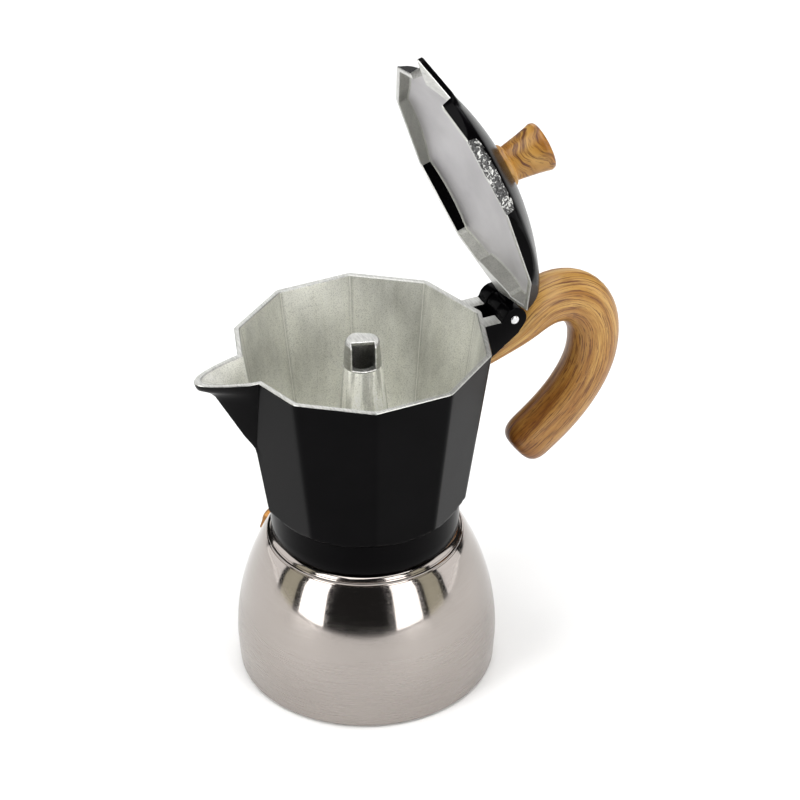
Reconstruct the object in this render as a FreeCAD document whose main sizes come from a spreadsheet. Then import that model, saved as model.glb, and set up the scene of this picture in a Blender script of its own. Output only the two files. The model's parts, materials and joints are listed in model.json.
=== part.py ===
"""Stovetop coffee maker (moka pot) with its lid standing open.

Frame: millimetres, +Z up, origin at the middle of the boiler's underside.
+X points at the hinge and the handle, -X at the spout.
The lid and what is on it are drawn closed and then turned open about the hinge pin.
"""
import math
import os
import re

import FreeCAD, Part
import Sketcher

SIZES = {
    # boiler
    "foot_rad": 51.7, "foot_round": 1.5, "belly_rad": 52.5, "belly_level": 13.0,
    "belly_arc": 98.0, "belly_angle": 27.4, "shoulder_arc": 19.0, "shoulder_angle": 45.6,
    "sheet_wall": 1.2, "neck_rad": 34.4, "neck_wall": 2.0, "neck_foot": 64.0, "neck_top": 76.6,
    "disc_rad": 46.0, "disc_high": 3.0,
    # safety valve, measured along its own axis from the boiler's outer wall
    "valve_turn": 113.0, "valve_angle": 16.0, "valve_hole": 4.1, "valve_shank": 4.0,
    "valve_deep": 7.0, "valve_hex": 6.9, "valve_hex_high": 4.0, "valve_nose": 4.2,
    "valve_nose_high": 1.7, "valve_washer": 0.8, "valve_chamber": 2.9, "valve_chamber_top": 2.0,
    "valve_bore": 1.56, "plunger_rad": 1.5, "plunger_head": 2.3, "plunger_head_high": 1.0,
    "plunger_tip": 7.6, "valve_seat_high": 0.9, "nut_set": 2.0, "nut_high": 3.0, "nut_rad": 6.9,
    "spring_rad": 2.25, "spring_wire": 0.25,
    # funnel
    "flange_rad": 33.4, "flange_high": 1.0, "stack_gap": 0.2, "basket_rad": 30.4,
    "basket_wall": 1.0, "basket_floor": 54.4, "basket_edge": 53.4, "cone_foot": 47.0,
    "collar_foot": 44.0, "stem_rad": 4.5, "stem_wall": 0.8, "stem_foot": 8.0, "ledge_rad": 27.5,
    "screen_high": 0.8, "screen_hole": 0.9, "screen_ring": 4.6,
    # gasket and filter plate
    "gasket_in": 25.5, "gasket_out": 33.8, "gasket_high": 3.2, "plate_rad": 29.5,
    "plate_high": 0.8, "plate_hole": 0.55, "plate_ring": 4.3,
    # collector
    "collar_rad": 37.6, "collar_level": 65.0, "collar_top": 78.8, "bore_rad": 35.9,
    "seat_rad": 34.1, "seat_level": 77.4, "seat_gap": 0.2, "plate_seat": 29.8,
    "rim_rad": 51.1, "rim_level": 150.1, "body_taper": 0.148, "skin": 2.1, "floor_level": 86.0,
    "column_foot": 12.6, "column_head": 7.6, "column_top": 139.8, "column_bore": 4.2,
    "column_throat": 9.0, "column_taper": 8.0, "cap_rad": 6.8, "cap_top": 150.2,
    "cap_spigot": 6.0, "cap_bore": 4.8, "cap_deep": 9.6, "cap_roof": 1.2, "cap_round": 0.5,
    "window_wide": 9.4, "window_sill": 0.6, "window_turn": -108.0, "window_mouth": 1.2,
    "spout_root": -44.0, "spout_mid": -62.5, "spout_tip": -69.8, "spout_root_half": 12.0,
    "spout_mid_half": 7.2, "spout_tip_half": 3.4, "spout_root_foot": 108.0,
    "spout_mid_foot": 142.6, "spout_tip_foot": 147.0, "spout_skin": 1.7, "spout_over": 1.0,
    # hinge
    "ear_root": 40.0, "ear_heel": 50.0, "ear_foot": 134.6, "slot_root": 53.2, "slot_foot": 144.2,
    "tongue_end": 61.5, "tongue_top": 140.0,
    "hinge_x": 60.2, "hinge_z": 149.9, "barrel_rad": 5.2, "lug_rad": 5.0, "ear_in": 4.3,
    "ear_out": 11.0, "lug_half": 4.0, "pin_rad": 1.5, "lug_bore": 1.56, "pin_half": 11.4,
    "lid_open": 72.3,
    # cutting tools, and walls that only bound a cut
    "drill_long": 24.0, "beyond": 70.0, "above": 170.0,
    # lid, measured from the rim
    "lid_gap": 0.2, "lid_rad": 52.7, "lid_skin": 2.3, "dome_high": 17.5, "dome_arc": 105.0,
    "dome_turn": 27.0, "edge_arc": 9.4, "ceiling_high": 14.5, "ceiling_arc": 125.0,
    "beak_tip": -63.0, "beak_root": -44.0, "beak_half": 19.0, "notch_half": 15.0,
    # knob
    "knob_flange": 8.7, "knob_flange_high": 2.9, "knob_waist": 7.2, "knob_head": 10.0,
    "knob_high": 19.6, "knob_crown": 1.2, "insert_rad": 3.2, "insert_high": 12.0,
    "knob_screw_rad": 2.0, "knob_screw_head": 4.0, "knob_screw_head_high": 2.0,
    "knob_washer": 5.2, "knob_washer_high": 0.6,
    # handle
    "grip_half": 10.8, "grip_width": 9.0, "tongue_half": 2.8, "tongue_foot": 132.3,
    "handle_screw_x": 56.5, "handle_screw_rad": 1.8, "handle_screw_head": 3.2,
    "handle_screw_seat": 130.9, "handle_washer_high": 0.5, "handle_screw_head_high": 1.8,
}

FUNCTIONS = {"sin", "cos", "tan", "sqrt"}

doc = FreeCAD.newDocument("moka_pot")
sheet = doc.addObject("Spreadsheet::Sheet", "dims")
for row, (alias, number) in enumerate(SIZES.items(), start=1):
    sheet.set("A%d" % row, alias)
    sheet.set("B%d" % row, str(number))
    sheet.setAlias("B%d" % row, alias)
SCRATCH = "D1"
doc.recompute()

NODES = {}


def bound(formula):
    """The formula with each alias read from the sheet."""
    def prefix(match):
        word = match.group()
        return word if word in FUNCTIONS else "dims." + word
    return re.sub(r"[a-z][a-z_]*", prefix, str(formula))


def number_of(formula):
    """The formula's present value."""
    sheet.set(SCRATCH, "=" + str(formula))
    sheet.recompute()
    result = sheet.get(SCRATCH)
    return float(getattr(result, "Value", result))


def bind(thing, **formulas):
    for name, formula in formulas.items():
        thing.setExpression(name.replace("__", "."), bound(formula))


def node(name, thing):
    """Name a finished sub-part: its label names its file."""
    thing.Label = name
    NODES[name] = thing
    return thing


# --- sketches and bodies -----------------------------------------------------------------------

def new_body(name):
    return doc.addObject("PartDesign::Body", name + "_body")


def new_sketch(body, role, name):
    sketch = body.newObject("Sketcher::SketchObject", name)
    for feature in body.Origin.OriginFeatures:
        if feature.Role == role:
            sketch.AttachmentSupport = (feature, [""])
    sketch.MapMode = "FlatFace"
    return sketch


def arc_between(start, end, radius, bulge):
    """The short arc from start to end. bulge is 1 where it turns left and -1 where it turns right."""
    chord = end - start
    half = chord.Length / 2
    side = FreeCAD.Vector(-chord.y, chord.x, 0).normalize() * bulge
    centre = start + chord * 0.5 + side * math.sqrt(radius * radius - half * half)
    circle = Part.Circle(centre, FreeCAD.Vector(0, 0, 1), radius)
    first, last = (start, end) if bulge > 0 else (end, start)
    return Part.ArcOfCircle(circle, circle.parameter(first), circle.parameter(last))


def outline(sketch, corners):
    """A closed outline. A corner is (x, y), or (x, y, radius, bulge) where an arc leaves it."""
    points = [FreeCAD.Vector(number_of(c[0]), number_of(c[1]), 0) for c in corners]
    ends = []
    for i, corner in enumerate(corners):
        start, end = points[i], points[(i + 1) % len(points)]
        if len(corner) == 2:
            sketch.addGeometry(Part.LineSegment(start, end), False)
            ends.append((1, 2))
        else:
            radius, bulge = corner[2], corner[3]
            sketch.addGeometry(arc_between(start, end, number_of(radius), bulge), False)
            ends.append((1, 2) if bulge > 0 else (2, 1))
    for i, corner in enumerate(corners):
        after = (i + 1) % len(corners)
        add = sketch.addConstraint
        add(Sketcher.Constraint("Coincident", i, ends[i][1], after, ends[after][0]))
        for kind, place, formula in (("DistanceX", points[i].x, corner[0]),
                                     ("DistanceY", points[i].y, corner[1])):
            index = add(Sketcher.Constraint(kind, -1, 1, i, ends[i][0], place))
            sketch.setExpression("Constraints[%d]" % index, bound(formula))
        if len(corner) == 4:
            index = add(Sketcher.Constraint("Radius", i, number_of(corner[2])))
            sketch.setExpression("Constraints[%d]" % index, bound(corner[2]))


def revolved(name, corners):
    """A body turned about Z from a half outline in the XZ plane."""
    body = new_body(name)
    sketch = new_sketch(body, "XZ_Plane", name + "_outline")
    outline(sketch, corners)
    turn = body.newObject("PartDesign::Revolution", name + "_turned")
    turn.Profile = sketch
    turn.ReferenceAxis = (sketch, ["V_Axis"])
    turn.Angle = 360.0
    return body


def ring_of_holes(body, name, hole, step, rings):
    """Rings of six, twelve, eighteen ... holes through a disc, and one in the middle."""
    sketch = new_sketch(body, "XY_Plane", name + "_holes")
    index = sketch.addGeometry(Part.Circle(FreeCAD.Vector(), FreeCAD.Vector(0, 0, 1),
                                           number_of(hole)), False)
    sketch.addConstraint(Sketcher.Constraint("Coincident", index, 3, -1, 1))
    fixed = sketch.addConstraint(Sketcher.Constraint("Radius", index, number_of(hole)))
    sketch.setExpression("Constraints[%d]" % fixed, bound(hole))
    for ring in range(1, rings + 1):
        for k in range(6 * ring):
            turn = 60.0 * k / ring
            across = "%s*%d*cos(%.6f)" % (step, ring, turn)
            up = "%s*%d*sin(%.6f)" % (step, ring, turn)
            centre = FreeCAD.Vector(number_of(across), number_of(up), 0)
            circle = Part.Circle(centre, FreeCAD.Vector(0, 0, 1), number_of(hole))
            index = sketch.addGeometry(circle, False)
            sketch.addConstraint(Sketcher.Constraint("Equal", 0, index))
            for kind, place, formula in (("DistanceX", centre.x, across), ("DistanceY", centre.y, up)):
                fixed = sketch.addConstraint(Sketcher.Constraint(kind, -1, 1, index, 3, place))
                sketch.setExpression("Constraints[%d]" % fixed, bound(formula))
    pocket = body.newObject("PartDesign::Pocket", name + "_pierced")
    pocket.Profile = sketch
    pocket.Type = 1
    pocket.Midplane = True
    return body


# --- Part shapes -------------------------------------------------------------------------------

def shape(kind, name, **formulas):
    thing = doc.addObject("Part::" + kind, name)
    bind(thing, **formulas)
    return thing


def boolean(kind, name, *things):
    result = doc.addObject("Part::" + kind, name)
    if kind in ("MultiFuse", "MultiCommon"):
        result.Shapes = list(things)
    else:
        result.Base, result.Tool = things
    return result


def decagon_block(name, low, low_rad, high, high_rad):
    """A ten-sided block, its corners on +X and every 36 degrees from there."""
    ends = []
    for tag, level, radius in (("low", low, low_rad), ("high", high, high_rad)):
        polygon = shape("RegularPolygon", "%s_%s" % (name, tag), Circumradius=radius,
                        Placement__Base__z=level)
        polygon.Polygon = 10
        ends.append(polygon)
    block = doc.addObject("Part::Loft", name)
    block.Sections = ends
    block.Solid = True
    block.Ruled = True
    return block


def slab(name, corners, half):
    """An outline in the XZ plane thickened by half to each side of it."""
    body = new_body(name)
    sketch = new_sketch(body, "XZ_Plane", name + "_outline")
    outline(sketch, corners)
    pad = body.newObject("PartDesign::Pad", name + "_pad")
    pad.Profile = sketch
    pad.Midplane = True
    bind(pad, Length="2*(%s)" % half)
    return body


def plan(name, corners, low, high):
    """An outline in the XY plane raised from low to high."""
    body = new_body(name)
    sketch = new_sketch(body, "XY_Plane", name + "_outline")
    bind(sketch, AttachmentOffset__Base__z=low)
    outline(sketch, corners)
    pad = body.newObject("PartDesign::Pad", name + "_pad")
    pad.Profile = sketch
    bind(pad, Length="(%s)-(%s)" % (high, low))
    return body


def cross_pin(name, radius, half, x, z):
    """A round bar along Y, centred on y = 0."""
    bar = shape("Cylinder", name, Radius=radius, Height="2*(%s)" % half)
    bar.Placement.Rotation = FreeCAD.Rotation(FreeCAD.Vector(1, 0, 0), -90)
    bind(bar, Placement__Base__x=x, Placement__Base__y="-(%s)" % half, Placement__Base__z=z)
    return bar


# --- boiler ------------------------------------------------------------------------------------

def dome_point(arc_less, angle):
    """A point of the belly's arc, drawn arc_less inside the outer skin."""
    return ("belly_rad-belly_arc+(belly_arc-%s)*cos(%s)" % (arc_less, angle),
            "belly_level+(belly_arc-%s)*sin(%s)" % (arc_less, angle))


def shoulder_point(arc_less):
    """The upper end of the shoulder's arc, drawn arc_less inside the outer skin."""
    return ("belly_rad-belly_arc+(belly_arc-shoulder_arc)*cos(belly_angle)"
            "+(shoulder_arc-%s)*cos(shoulder_angle)" % arc_less,
            "belly_level+(belly_arc-shoulder_arc)*sin(belly_angle)"
            "+(shoulder_arc-%s)*sin(shoulder_angle)" % arc_less)


def make_boiler():
    neck_in = "neck_rad-neck_wall"
    floor = "disc_high+sheet_wall"
    raw = revolved("boiler_form", [
        ("disc_rad", "0"),
        ("foot_rad-foot_round", "0", "foot_round", 1),
        ("foot_rad", "foot_round"),
        ("belly_rad", "belly_level", "belly_arc", 1),
        dome_point("0", "belly_angle") + ("shoulder_arc", 1),
        shoulder_point("0"),
        ("neck_rad", "neck_foot"),
        ("neck_rad", "neck_top"),
        (neck_in, "neck_top"),
        (neck_in, "neck_foot-sheet_wall"),
        shoulder_point("sheet_wall") + ("shoulder_arc-sheet_wall", -1),
        dome_point("sheet_wall", "belly_angle") + ("belly_arc-sheet_wall", -1),
        ("belly_rad-sheet_wall", "belly_level"),
        ("foot_rad-sheet_wall", floor),
        ("0", floor),
        ("0", "disc_high"),
        ("disc_rad", "disc_high"),
    ])
    drill = valve_piece(shape("Cylinder", "valve_drill", Radius="valve_hole", Height="drill_long"),
                         -number_of("drill_long") / 2)
    node("boiler_shell", boolean("Cut", "boiler_shell", raw, drill))
    node("boiler_base_disc", revolved("boiler_base_disc", [
        ("0", "0"), ("disc_rad", "0"), ("disc_rad", "disc_high"), ("0", "disc_high")]))


# --- safety valve ------------------------------------------------------------------------------

def valve_piece(thing, start=0.0):
    """Stand a piece drawn along +Z on the boiler's wall, start millimetres out along the valve's axis."""
    turn = math.radians(number_of("valve_turn"))
    rise = math.radians(number_of("valve_angle"))
    out = FreeCAD.Vector(math.cos(rise) * math.cos(turn), math.cos(rise) * math.sin(turn), math.sin(rise))
    radius, level = (number_of(formula) for formula in dome_point("0", "valve_angle"))
    foot = FreeCAD.Vector(radius * math.cos(turn), radius * math.sin(turn), level)
    thing.Placement = FreeCAD.Placement(foot + out * start, FreeCAD.Rotation(FreeCAD.Vector(0, 0, 1), out))
    return thing


def make_valve():
    hex_top = "valve_washer+valve_hex_high"
    nose_top = hex_top + "+valve_nose_high"
    hexagon = shape("Prism", "valve_hexagon", Circumradius="valve_hex", Height="valve_hex_high",
                    Placement__Base__z="valve_washer")
    hexagon.Polygon = 6
    trunk = revolved("valve_trunk", [
        ("valve_chamber", "-valve_deep"), ("valve_shank", "-valve_deep"), ("valve_shank", hex_top),
        ("valve_nose", hex_top), ("valve_nose-0.5", nose_top), ("valve_bore", nose_top),
        ("valve_bore", "valve_chamber_top"), ("valve_chamber", "valve_chamber_top")])
    core = shape("Cylinder", "valve_core", Radius="valve_shank-0.2", Height="drill_long")
    collar = boolean("Cut", "valve_collar", hexagon, core)
    node("valve_body", valve_piece(boolean("Fuse", "valve_body", trunk, collar)))
    node("valve_washer", valve_piece(revolved("valve_washer", [
        ("valve_shank", "0"), ("valve_hex-0.3", "0"), ("valve_hex-0.3", "valve_washer"),
        ("valve_shank", "valve_washer")])))
    nut = shape("Prism", "nut_hexagon", Circumradius="nut_rad", Height="nut_high",
                Placement__Base__z="-nut_set-nut_high")
    nut.Polygon = 6
    nut_bore = shape("Cylinder", "nut_bore", Radius="valve_shank", Height="drill_long",
                     Placement__Base__z="-drill_long/2")
    node("valve_nut", valve_piece(boolean("Cut", "valve_nut", nut, nut_bore)))
    head_foot = "-valve_deep+valve_seat_high+0.1"
    head_top = head_foot + "+plunger_head_high"
    node("valve_plunger", valve_piece(revolved("valve_plunger", [
        ("0", head_foot), ("plunger_head", head_foot), ("plunger_head", head_top),
        ("plunger_rad", head_top), ("plunger_rad", "plunger_tip-0.4"),
        ("plunger_rad-0.4", "plunger_tip"), ("0", "plunger_tip")])))
    node("valve_seat", valve_piece(revolved("valve_seat", [
        ("1.2", "-valve_deep"), ("valve_chamber", "-valve_deep"),
        ("valve_chamber", "-valve_deep+valve_seat_high"), ("1.2", "-valve_deep+valve_seat_high")])))
    spring_foot = head_top + "+0.05"
    spring_top = "valve_chamber_top-0.05"
    node("valve_spring", valve_piece(revolved("valve_spring", [
        ("spring_rad-spring_wire", spring_foot), ("spring_rad+spring_wire", spring_foot),
        ("spring_rad+spring_wire", spring_top), ("spring_rad-spring_wire", spring_top)])))


# --- funnel, gasket and filter plate -----------------------------------------------------------

FLANGE_FOOT = "neck_top+stack_gap"
GASKET_FOOT = "neck_top+flange_high+2*stack_gap"
PLATE_FOOT = GASKET_FOOT + "+gasket_high"
PLATE_TOP = PLATE_FOOT + "+plate_high"


def make_funnel():
    basket_in = "basket_rad-basket_wall"
    flange_top = FLANGE_FOOT + "+flange_high"
    node("funnel_basket", revolved("funnel_basket", [
        (basket_in, flange_top), (basket_in, "basket_floor"), ("ledge_rad", "basket_floor"),
        ("stem_rad", "cone_foot+1.2"), ("stem_rad", "collar_foot"), ("stem_rad+1.1", "collar_foot"),
        ("stem_rad+1.1", "cone_foot"), ("basket_rad", "basket_edge"), ("basket_rad", FLANGE_FOOT),
        ("flange_rad", FLANGE_FOOT), ("flange_rad", flange_top)]))
    bore = "stem_rad-stem_wall"
    node("funnel_stem", revolved("funnel_stem", [
        (bore, "stem_foot"), ("stem_rad", "stem_foot"), ("stem_rad", "cone_foot+0.4"),
        (bore, "cone_foot+0.4")]))
    screen = revolved("funnel_screen", [
        ("0", "basket_floor"), (basket_in + "-0.2", "basket_floor"),
        (basket_in + "-0.2", "basket_floor+screen_high"), ("0", "basket_floor+screen_high")])
    node("funnel_screen", ring_of_holes(screen, "funnel_screen", "screen_hole", "screen_ring", 5))


def make_gasket_and_plate():
    node("gasket", revolved("gasket", [
        ("gasket_in", GASKET_FOOT), ("gasket_out", GASKET_FOOT), ("gasket_out", PLATE_FOOT),
        ("gasket_in", PLATE_FOOT)]))
    plate = revolved("filter_plate", [
        ("0", PLATE_FOOT), ("plate_rad", PLATE_FOOT), ("plate_rad", PLATE_TOP), ("0", PLATE_TOP)])
    node("filter_plate", ring_of_holes(plate, "filter_plate", "plate_hole", "plate_ring", 5))


# --- collector ---------------------------------------------------------------------------------

def wall_rad(level):
    """The outer corner radius of the ten-sided wall at a height."""
    return "rim_rad-(rim_level-(%s))*body_taper" % level


def spout_block(name, inset):
    """The pouring lip: a keeled trough lofted from three upright triangles."""
    sections = []
    for tag in ("root", "mid", "tip"):
        x = number_of("spout_" + tag)
        wide = number_of("spout_%s_half-%s*1.25" % (tag, inset))
        keel = number_of("spout_%s_foot+%s*2.2" % (tag, inset))
        top = number_of("rim_level" if inset == "0" else "rim_level+spout_over")
        polygon = doc.addObject("Part::Polygon", "%s_%s" % (name, tag))
        polygon.Nodes = [FreeCAD.Vector(x, -wide, top), FreeCAD.Vector(x, 0, keel),
                         FreeCAD.Vector(x, wide, top)]
        polygon.Close = True
        sections.append(polygon)
    block = doc.addObject("Part::Loft", name)
    block.Sections = sections
    block.Solid = True
    block.Ruled = True
    return block


def ear_corners(grow):
    """The side view of the hinge's ears, grown by a clearance."""
    return [("ear_root", "rim_level+%s" % grow), ("hinge_x", "rim_level+%s" % grow),
            ("hinge_x+4.6+%s" % grow, "hinge_z-2.4"), ("hinge_x+1.8+%s" % grow, "hinge_z-6.4-%s" % grow),
            ("ear_heel", "ear_foot-%s" % grow), ("ear_root", "ear_foot-%s" % grow)]


def make_collector():
    low = "collar_top-1"
    walls = decagon_block("collector_walls", low, wall_rad(low), "rim_level", "rim_rad")
    envelope = revolved("collector_envelope", [
        ("0", "collar_level"), ("collar_rad", "collar_level"), ("collar_rad+0.3", "collar_top"),
        ("collar_rad+6", "collar_top+5.7"), ("beyond", "collar_top+5.7"), ("beyond", "above"),
        ("0", "above")])
    cup = boolean("Common", "collector_cup", walls, envelope)
    collar = revolved("collector_collar", [
        ("0", "collar_level"), ("collar_rad-0.6", "collar_level"), ("collar_rad", "collar_level+0.6"),
        ("collar_rad+0.3", "collar_top"), ("0", "collar_top")])
    ears = boolean("MultiFuse", "hinge_ears", slab("ear_plate", ear_corners("0"), "ear_out"),
                   cross_pin("ear_barrel", "barrel_rad", "ear_out", "hinge_x", "hinge_z"))
    ear_slot = slab("ear_slot", [
        ("slot_root", "above"), ("slot_root", "slot_foot+1.8"), ("slot_root+1.4", "slot_foot"),
        ("beyond", "slot_foot"), ("beyond", "above")], "ear_in")
    forked = boolean("Cut", "hinge_fork", ears, ear_slot)
    tongue = slab("handle_tongue", [
        ("ear_root+4", "tongue_foot"), ("tongue_end", "tongue_foot"), ("tongue_end", "tongue_foot+5"),
        ("tongue_end-4.5", "tongue_top"), ("ear_root+4", "tongue_top")], "tongue_half")
    spout = spout_block("spout_outside", "0")
    solid = boolean("MultiFuse", "collector_solid", cup, collar, forked, tongue, spout)

    cavity = decagon_block("collector_cavity", "floor_level", wall_rad("floor_level") + "-skin",
                           "rim_level+4", wall_rad("rim_level+4") + "-skin")
    underside = revolved("collector_underside", [
        ("0", "collar_level-1"), ("bore_rad", "collar_level-1"), ("bore_rad", "seat_level"),
        ("seat_rad", "seat_level"), ("seat_rad", PLATE_FOOT + "+seat_gap"),
        ("plate_seat", PLATE_FOOT + "+seat_gap"), ("plate_seat", PLATE_TOP + "+seat_gap"),
        ("column_throat", PLATE_TOP + "+seat_gap"), ("column_throat", "floor_level+0.5"),
        ("0", "floor_level+0.5")])
    trough = spout_block("spout_inside", "spout_skin")
    pin_hole = cross_pin("ear_pin_hole", "pin_rad", "ear_out+2", "hinge_x", "hinge_z")
    screw_hole = shape("Cylinder", "tongue_screw_hole", Radius="handle_screw_rad", Height="drill_long",
                       Placement__Base__x="handle_screw_x", Placement__Base__z="tongue_foot+5-drill_long")
    hollow = boolean("MultiFuse", "collector_hollow", cavity, underside, trough, pin_hole, screw_hole)
    node("collector", boolean("Cut", "collector", solid, hollow))

    node("hinge_pin", cross_pin("hinge_pin", "pin_rad", "pin_half", "hinge_x", "hinge_z"))
    return walls


def make_column():
    """The hollow post that the coffee climbs, and its cap with a window in one side, open at the top."""
    node("coffee_column", revolved("coffee_column", [
        ("column_throat", "floor_level"), ("column_foot", "floor_level"),
        ("column_head", "column_top"), ("cap_spigot", "column_top"),
        ("cap_spigot", "column_top-cap_deep"), ("column_bore", "column_top-cap_deep"),
        ("column_bore", "floor_level+column_taper")]))
    cap = revolved("column_cap_form", [
        ("cap_bore", "column_top-cap_deep"), ("cap_spigot", "column_top-cap_deep"),
        ("cap_spigot", "column_top"), ("column_head-0.1", "column_top"),
        ("cap_rad", "cap_top-cap_round"), ("cap_rad-cap_round", "cap_top"), ("0", "cap_top"),
        ("0", "cap_top-cap_roof"), ("cap_bore", "cap_top-cap_roof")])
    window = shape("Box", "column_window", Length="drill_long", Width="window_wide",
                   Height="cap_top-cap_roof-column_top-window_sill")
    window.Placement.Rotation = FreeCAD.Rotation(FreeCAD.Vector(0, 0, 1), number_of("window_turn"))
    bind(window, Placement__Base__x="window_wide/2*sin(window_turn)",
         Placement__Base__y="-window_wide/2*cos(window_turn)",
         Placement__Base__z="column_top+window_sill")
    mouth = shape("Box", "column_mouth", Length="drill_long", Width="window_wide", Height="cap_roof*3")
    mouth.Placement.Rotation = FreeCAD.Rotation(FreeCAD.Vector(0, 0, 1), number_of("window_turn"))
    bind(mouth, Placement__Base__x="window_mouth*cos(window_turn)+window_wide/2*sin(window_turn)",
         Placement__Base__y="window_mouth*sin(window_turn)-window_wide/2*cos(window_turn)",
         Placement__Base__z="cap_top-cap_roof*2")
    cap = boolean("Cut", "column_cap_windowed", cap, window)
    node("column_cap", boolean("Cut", "column_cap", cap, mouth))


# --- handle ------------------------------------------------------------------------------------

# centre of the grip (x, z), and its half height and half width as shares of the full grip's
GRIP = [(42.0, 128.2, 0.50, 0.78), (50.0, 131.2, 0.51, 0.80), (58.0, 134.4, 0.55, 0.84),
        (66.0, 139.0, 0.72, 0.92), (73.0, 145.2, 0.95, 1.0), (81.0, 148.9, 1.06, 1.0),
        (90.5, 147.4, 1.04, 1.0), (97.6, 140.4, 1.02, 1.0), (100.6, 130.0, 1.0, 1.0),
        (99.8, 119.0, 1.0, 1.0), (96.0, 109.4, 1.0, 1.0), (90.0, 100.6, 1.0, 1.0),
        (82.2, 92.6, 1.0, 1.0), (74.4, 86.4, 0.99, 0.99)]
# the rounded end: how far past the last point, and the share of the section left there
GRIP_END = [(4.6, 0.97), (7.4, 0.88), (9.0, 0.74), (9.8, 0.52)]


def grip_section(index, x, z, along, tall, wide):
    ellipse = doc.addObject("Part::Ellipse", "grip_%02d" % index)
    if tall * number_of("grip_half") > wide * number_of("grip_width"):
        bind(ellipse, MajorRadius="grip_half*%.4f" % tall, MinorRadius="grip_width*%.4f" % wide)
        major = FreeCAD.Vector(-along.z, 0, along.x)
    else:
        bind(ellipse, MajorRadius="grip_width*%.4f" % wide, MinorRadius="grip_half*%.4f" % tall)
        major = FreeCAD.Vector(0, 1, 0)
    frame = FreeCAD.Rotation(major, FreeCAD.Vector(), along, "ZXY")
    ellipse.Placement = FreeCAD.Placement(FreeCAD.Vector(x, 0, z), frame)
    return ellipse


def make_handle(walls):
    sections = []
    for i, (x, z, tall, wide) in enumerate(GRIP):
        before = GRIP[max(i - 1, 0)]
        after = GRIP[min(i + 1, len(GRIP) - 1)]
        along = FreeCAD.Vector(after[0] - before[0], 0, after[1] - before[1]).normalize()
        sections.append(grip_section(i, x, z, along, tall, wide))
    for past, share in GRIP_END:
        sections.append(grip_section(len(sections), x + along.x * past, z + along.z * past, along,
                                     tall * share, wide * share))
    form = doc.addObject("Part::Loft", "grip_form")
    form.Sections = sections
    form.Solid = True
    lug_room = slab("handle_lug_room", ear_corners("0.1"), "drill_long")
    tongue_room = slab("handle_tongue_room", [
        ("ear_root", "tongue_foot-0.1"), ("tongue_end+0.2", "tongue_foot-0.1"),
        ("tongue_end+0.2", "rim_level"), ("ear_root", "rim_level")], "tongue_half+0.1")
    seat = "handle_screw_seat"
    head_room = shape("Cylinder", "handle_head_room", Radius="handle_screw_head+0.5",
                      Height="drill_long", Placement__Base__x="handle_screw_x",
                      Placement__Base__z=seat + "-drill_long")
    shank_room = shape("Cylinder", "handle_shank_room", Radius="handle_screw_rad+0.1",
                       Height="8", Placement__Base__x="handle_screw_x",
                       Placement__Base__z=seat + "-4")
    barrel_room = cross_pin("handle_barrel_room", "barrel_rad+1.2", "drill_long", "hinge_x",
                            "hinge_z")
    rooms = boolean("MultiFuse", "handle_rooms", walls, lug_room, tongue_room, head_room,
                    shank_room, barrel_room)
    node("handle", boolean("Cut", "handle", form, rooms))

    washer_foot = seat + "-handle_washer_high"
    ring = shape("Cylinder", "handle_washer_ring", Radius="handle_screw_head+0.3",
                 Height="handle_washer_high", Placement__Base__x="handle_screw_x",
                 Placement__Base__z=washer_foot)
    hole = shape("Cylinder", "handle_washer_hole", Radius="handle_screw_rad+0.05",
                 Height="drill_long", Placement__Base__x="handle_screw_x",
                 Placement__Base__z=seat + "-drill_long/2")
    node("handle_washer", boolean("Cut", "handle_washer", ring, hole))
    shank = shape("Cylinder", "handle_screw_shank", Radius="handle_screw_rad",
                  Height="tongue_foot+4.5-(%s)" % washer_foot, Placement__Base__x="handle_screw_x",
                  Placement__Base__z=washer_foot)
    head = shape("Cylinder", "handle_screw_disc", Radius="handle_screw_head",
                 Height="handle_screw_head_high", Placement__Base__x="handle_screw_x",
                 Placement__Base__z=washer_foot + "-handle_screw_head_high")
    cross = [shape("Box", "handle_screw_cross_%d" % k, Length="3.6" if k else "0.8",
                   Width="0.8" if k else "3.6", Height="1.0",
                   Placement__Base__x="handle_screw_x-%s" % ("1.8" if k else "0.4"),
                   Placement__Base__y="-0.4" if k else "-1.8",
                   Placement__Base__z=washer_foot + "-handle_screw_head_high") for k in (0, 1)]
    bolt = boolean("MultiFuse", "handle_screw_blank", shank, head)
    node("handle_screw", boolean("Cut", "handle_screw", bolt,
                                 boolean("MultiFuse", "handle_screw_cross", *cross)))


# --- lid and knob ------------------------------------------------------------------------------

LID_FOOT = "rim_level+lid_gap"
DOME_TOP = LID_FOOT + "+dome_high"
CEILING_TOP = LID_FOOT + "+ceiling_high"


def opened(thing):
    """Turn a piece of the lid, drawn closed, about the hinge pin to where the lid stands open."""
    axis = FreeCAD.Vector(number_of("hinge_x"), 0, number_of("hinge_z"))
    turn = FreeCAD.Rotation(FreeCAD.Vector(0, 1, 0), number_of("lid_open"))
    thing.Placement = FreeCAD.Placement(FreeCAD.Vector(), turn, axis)
    return thing


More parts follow.
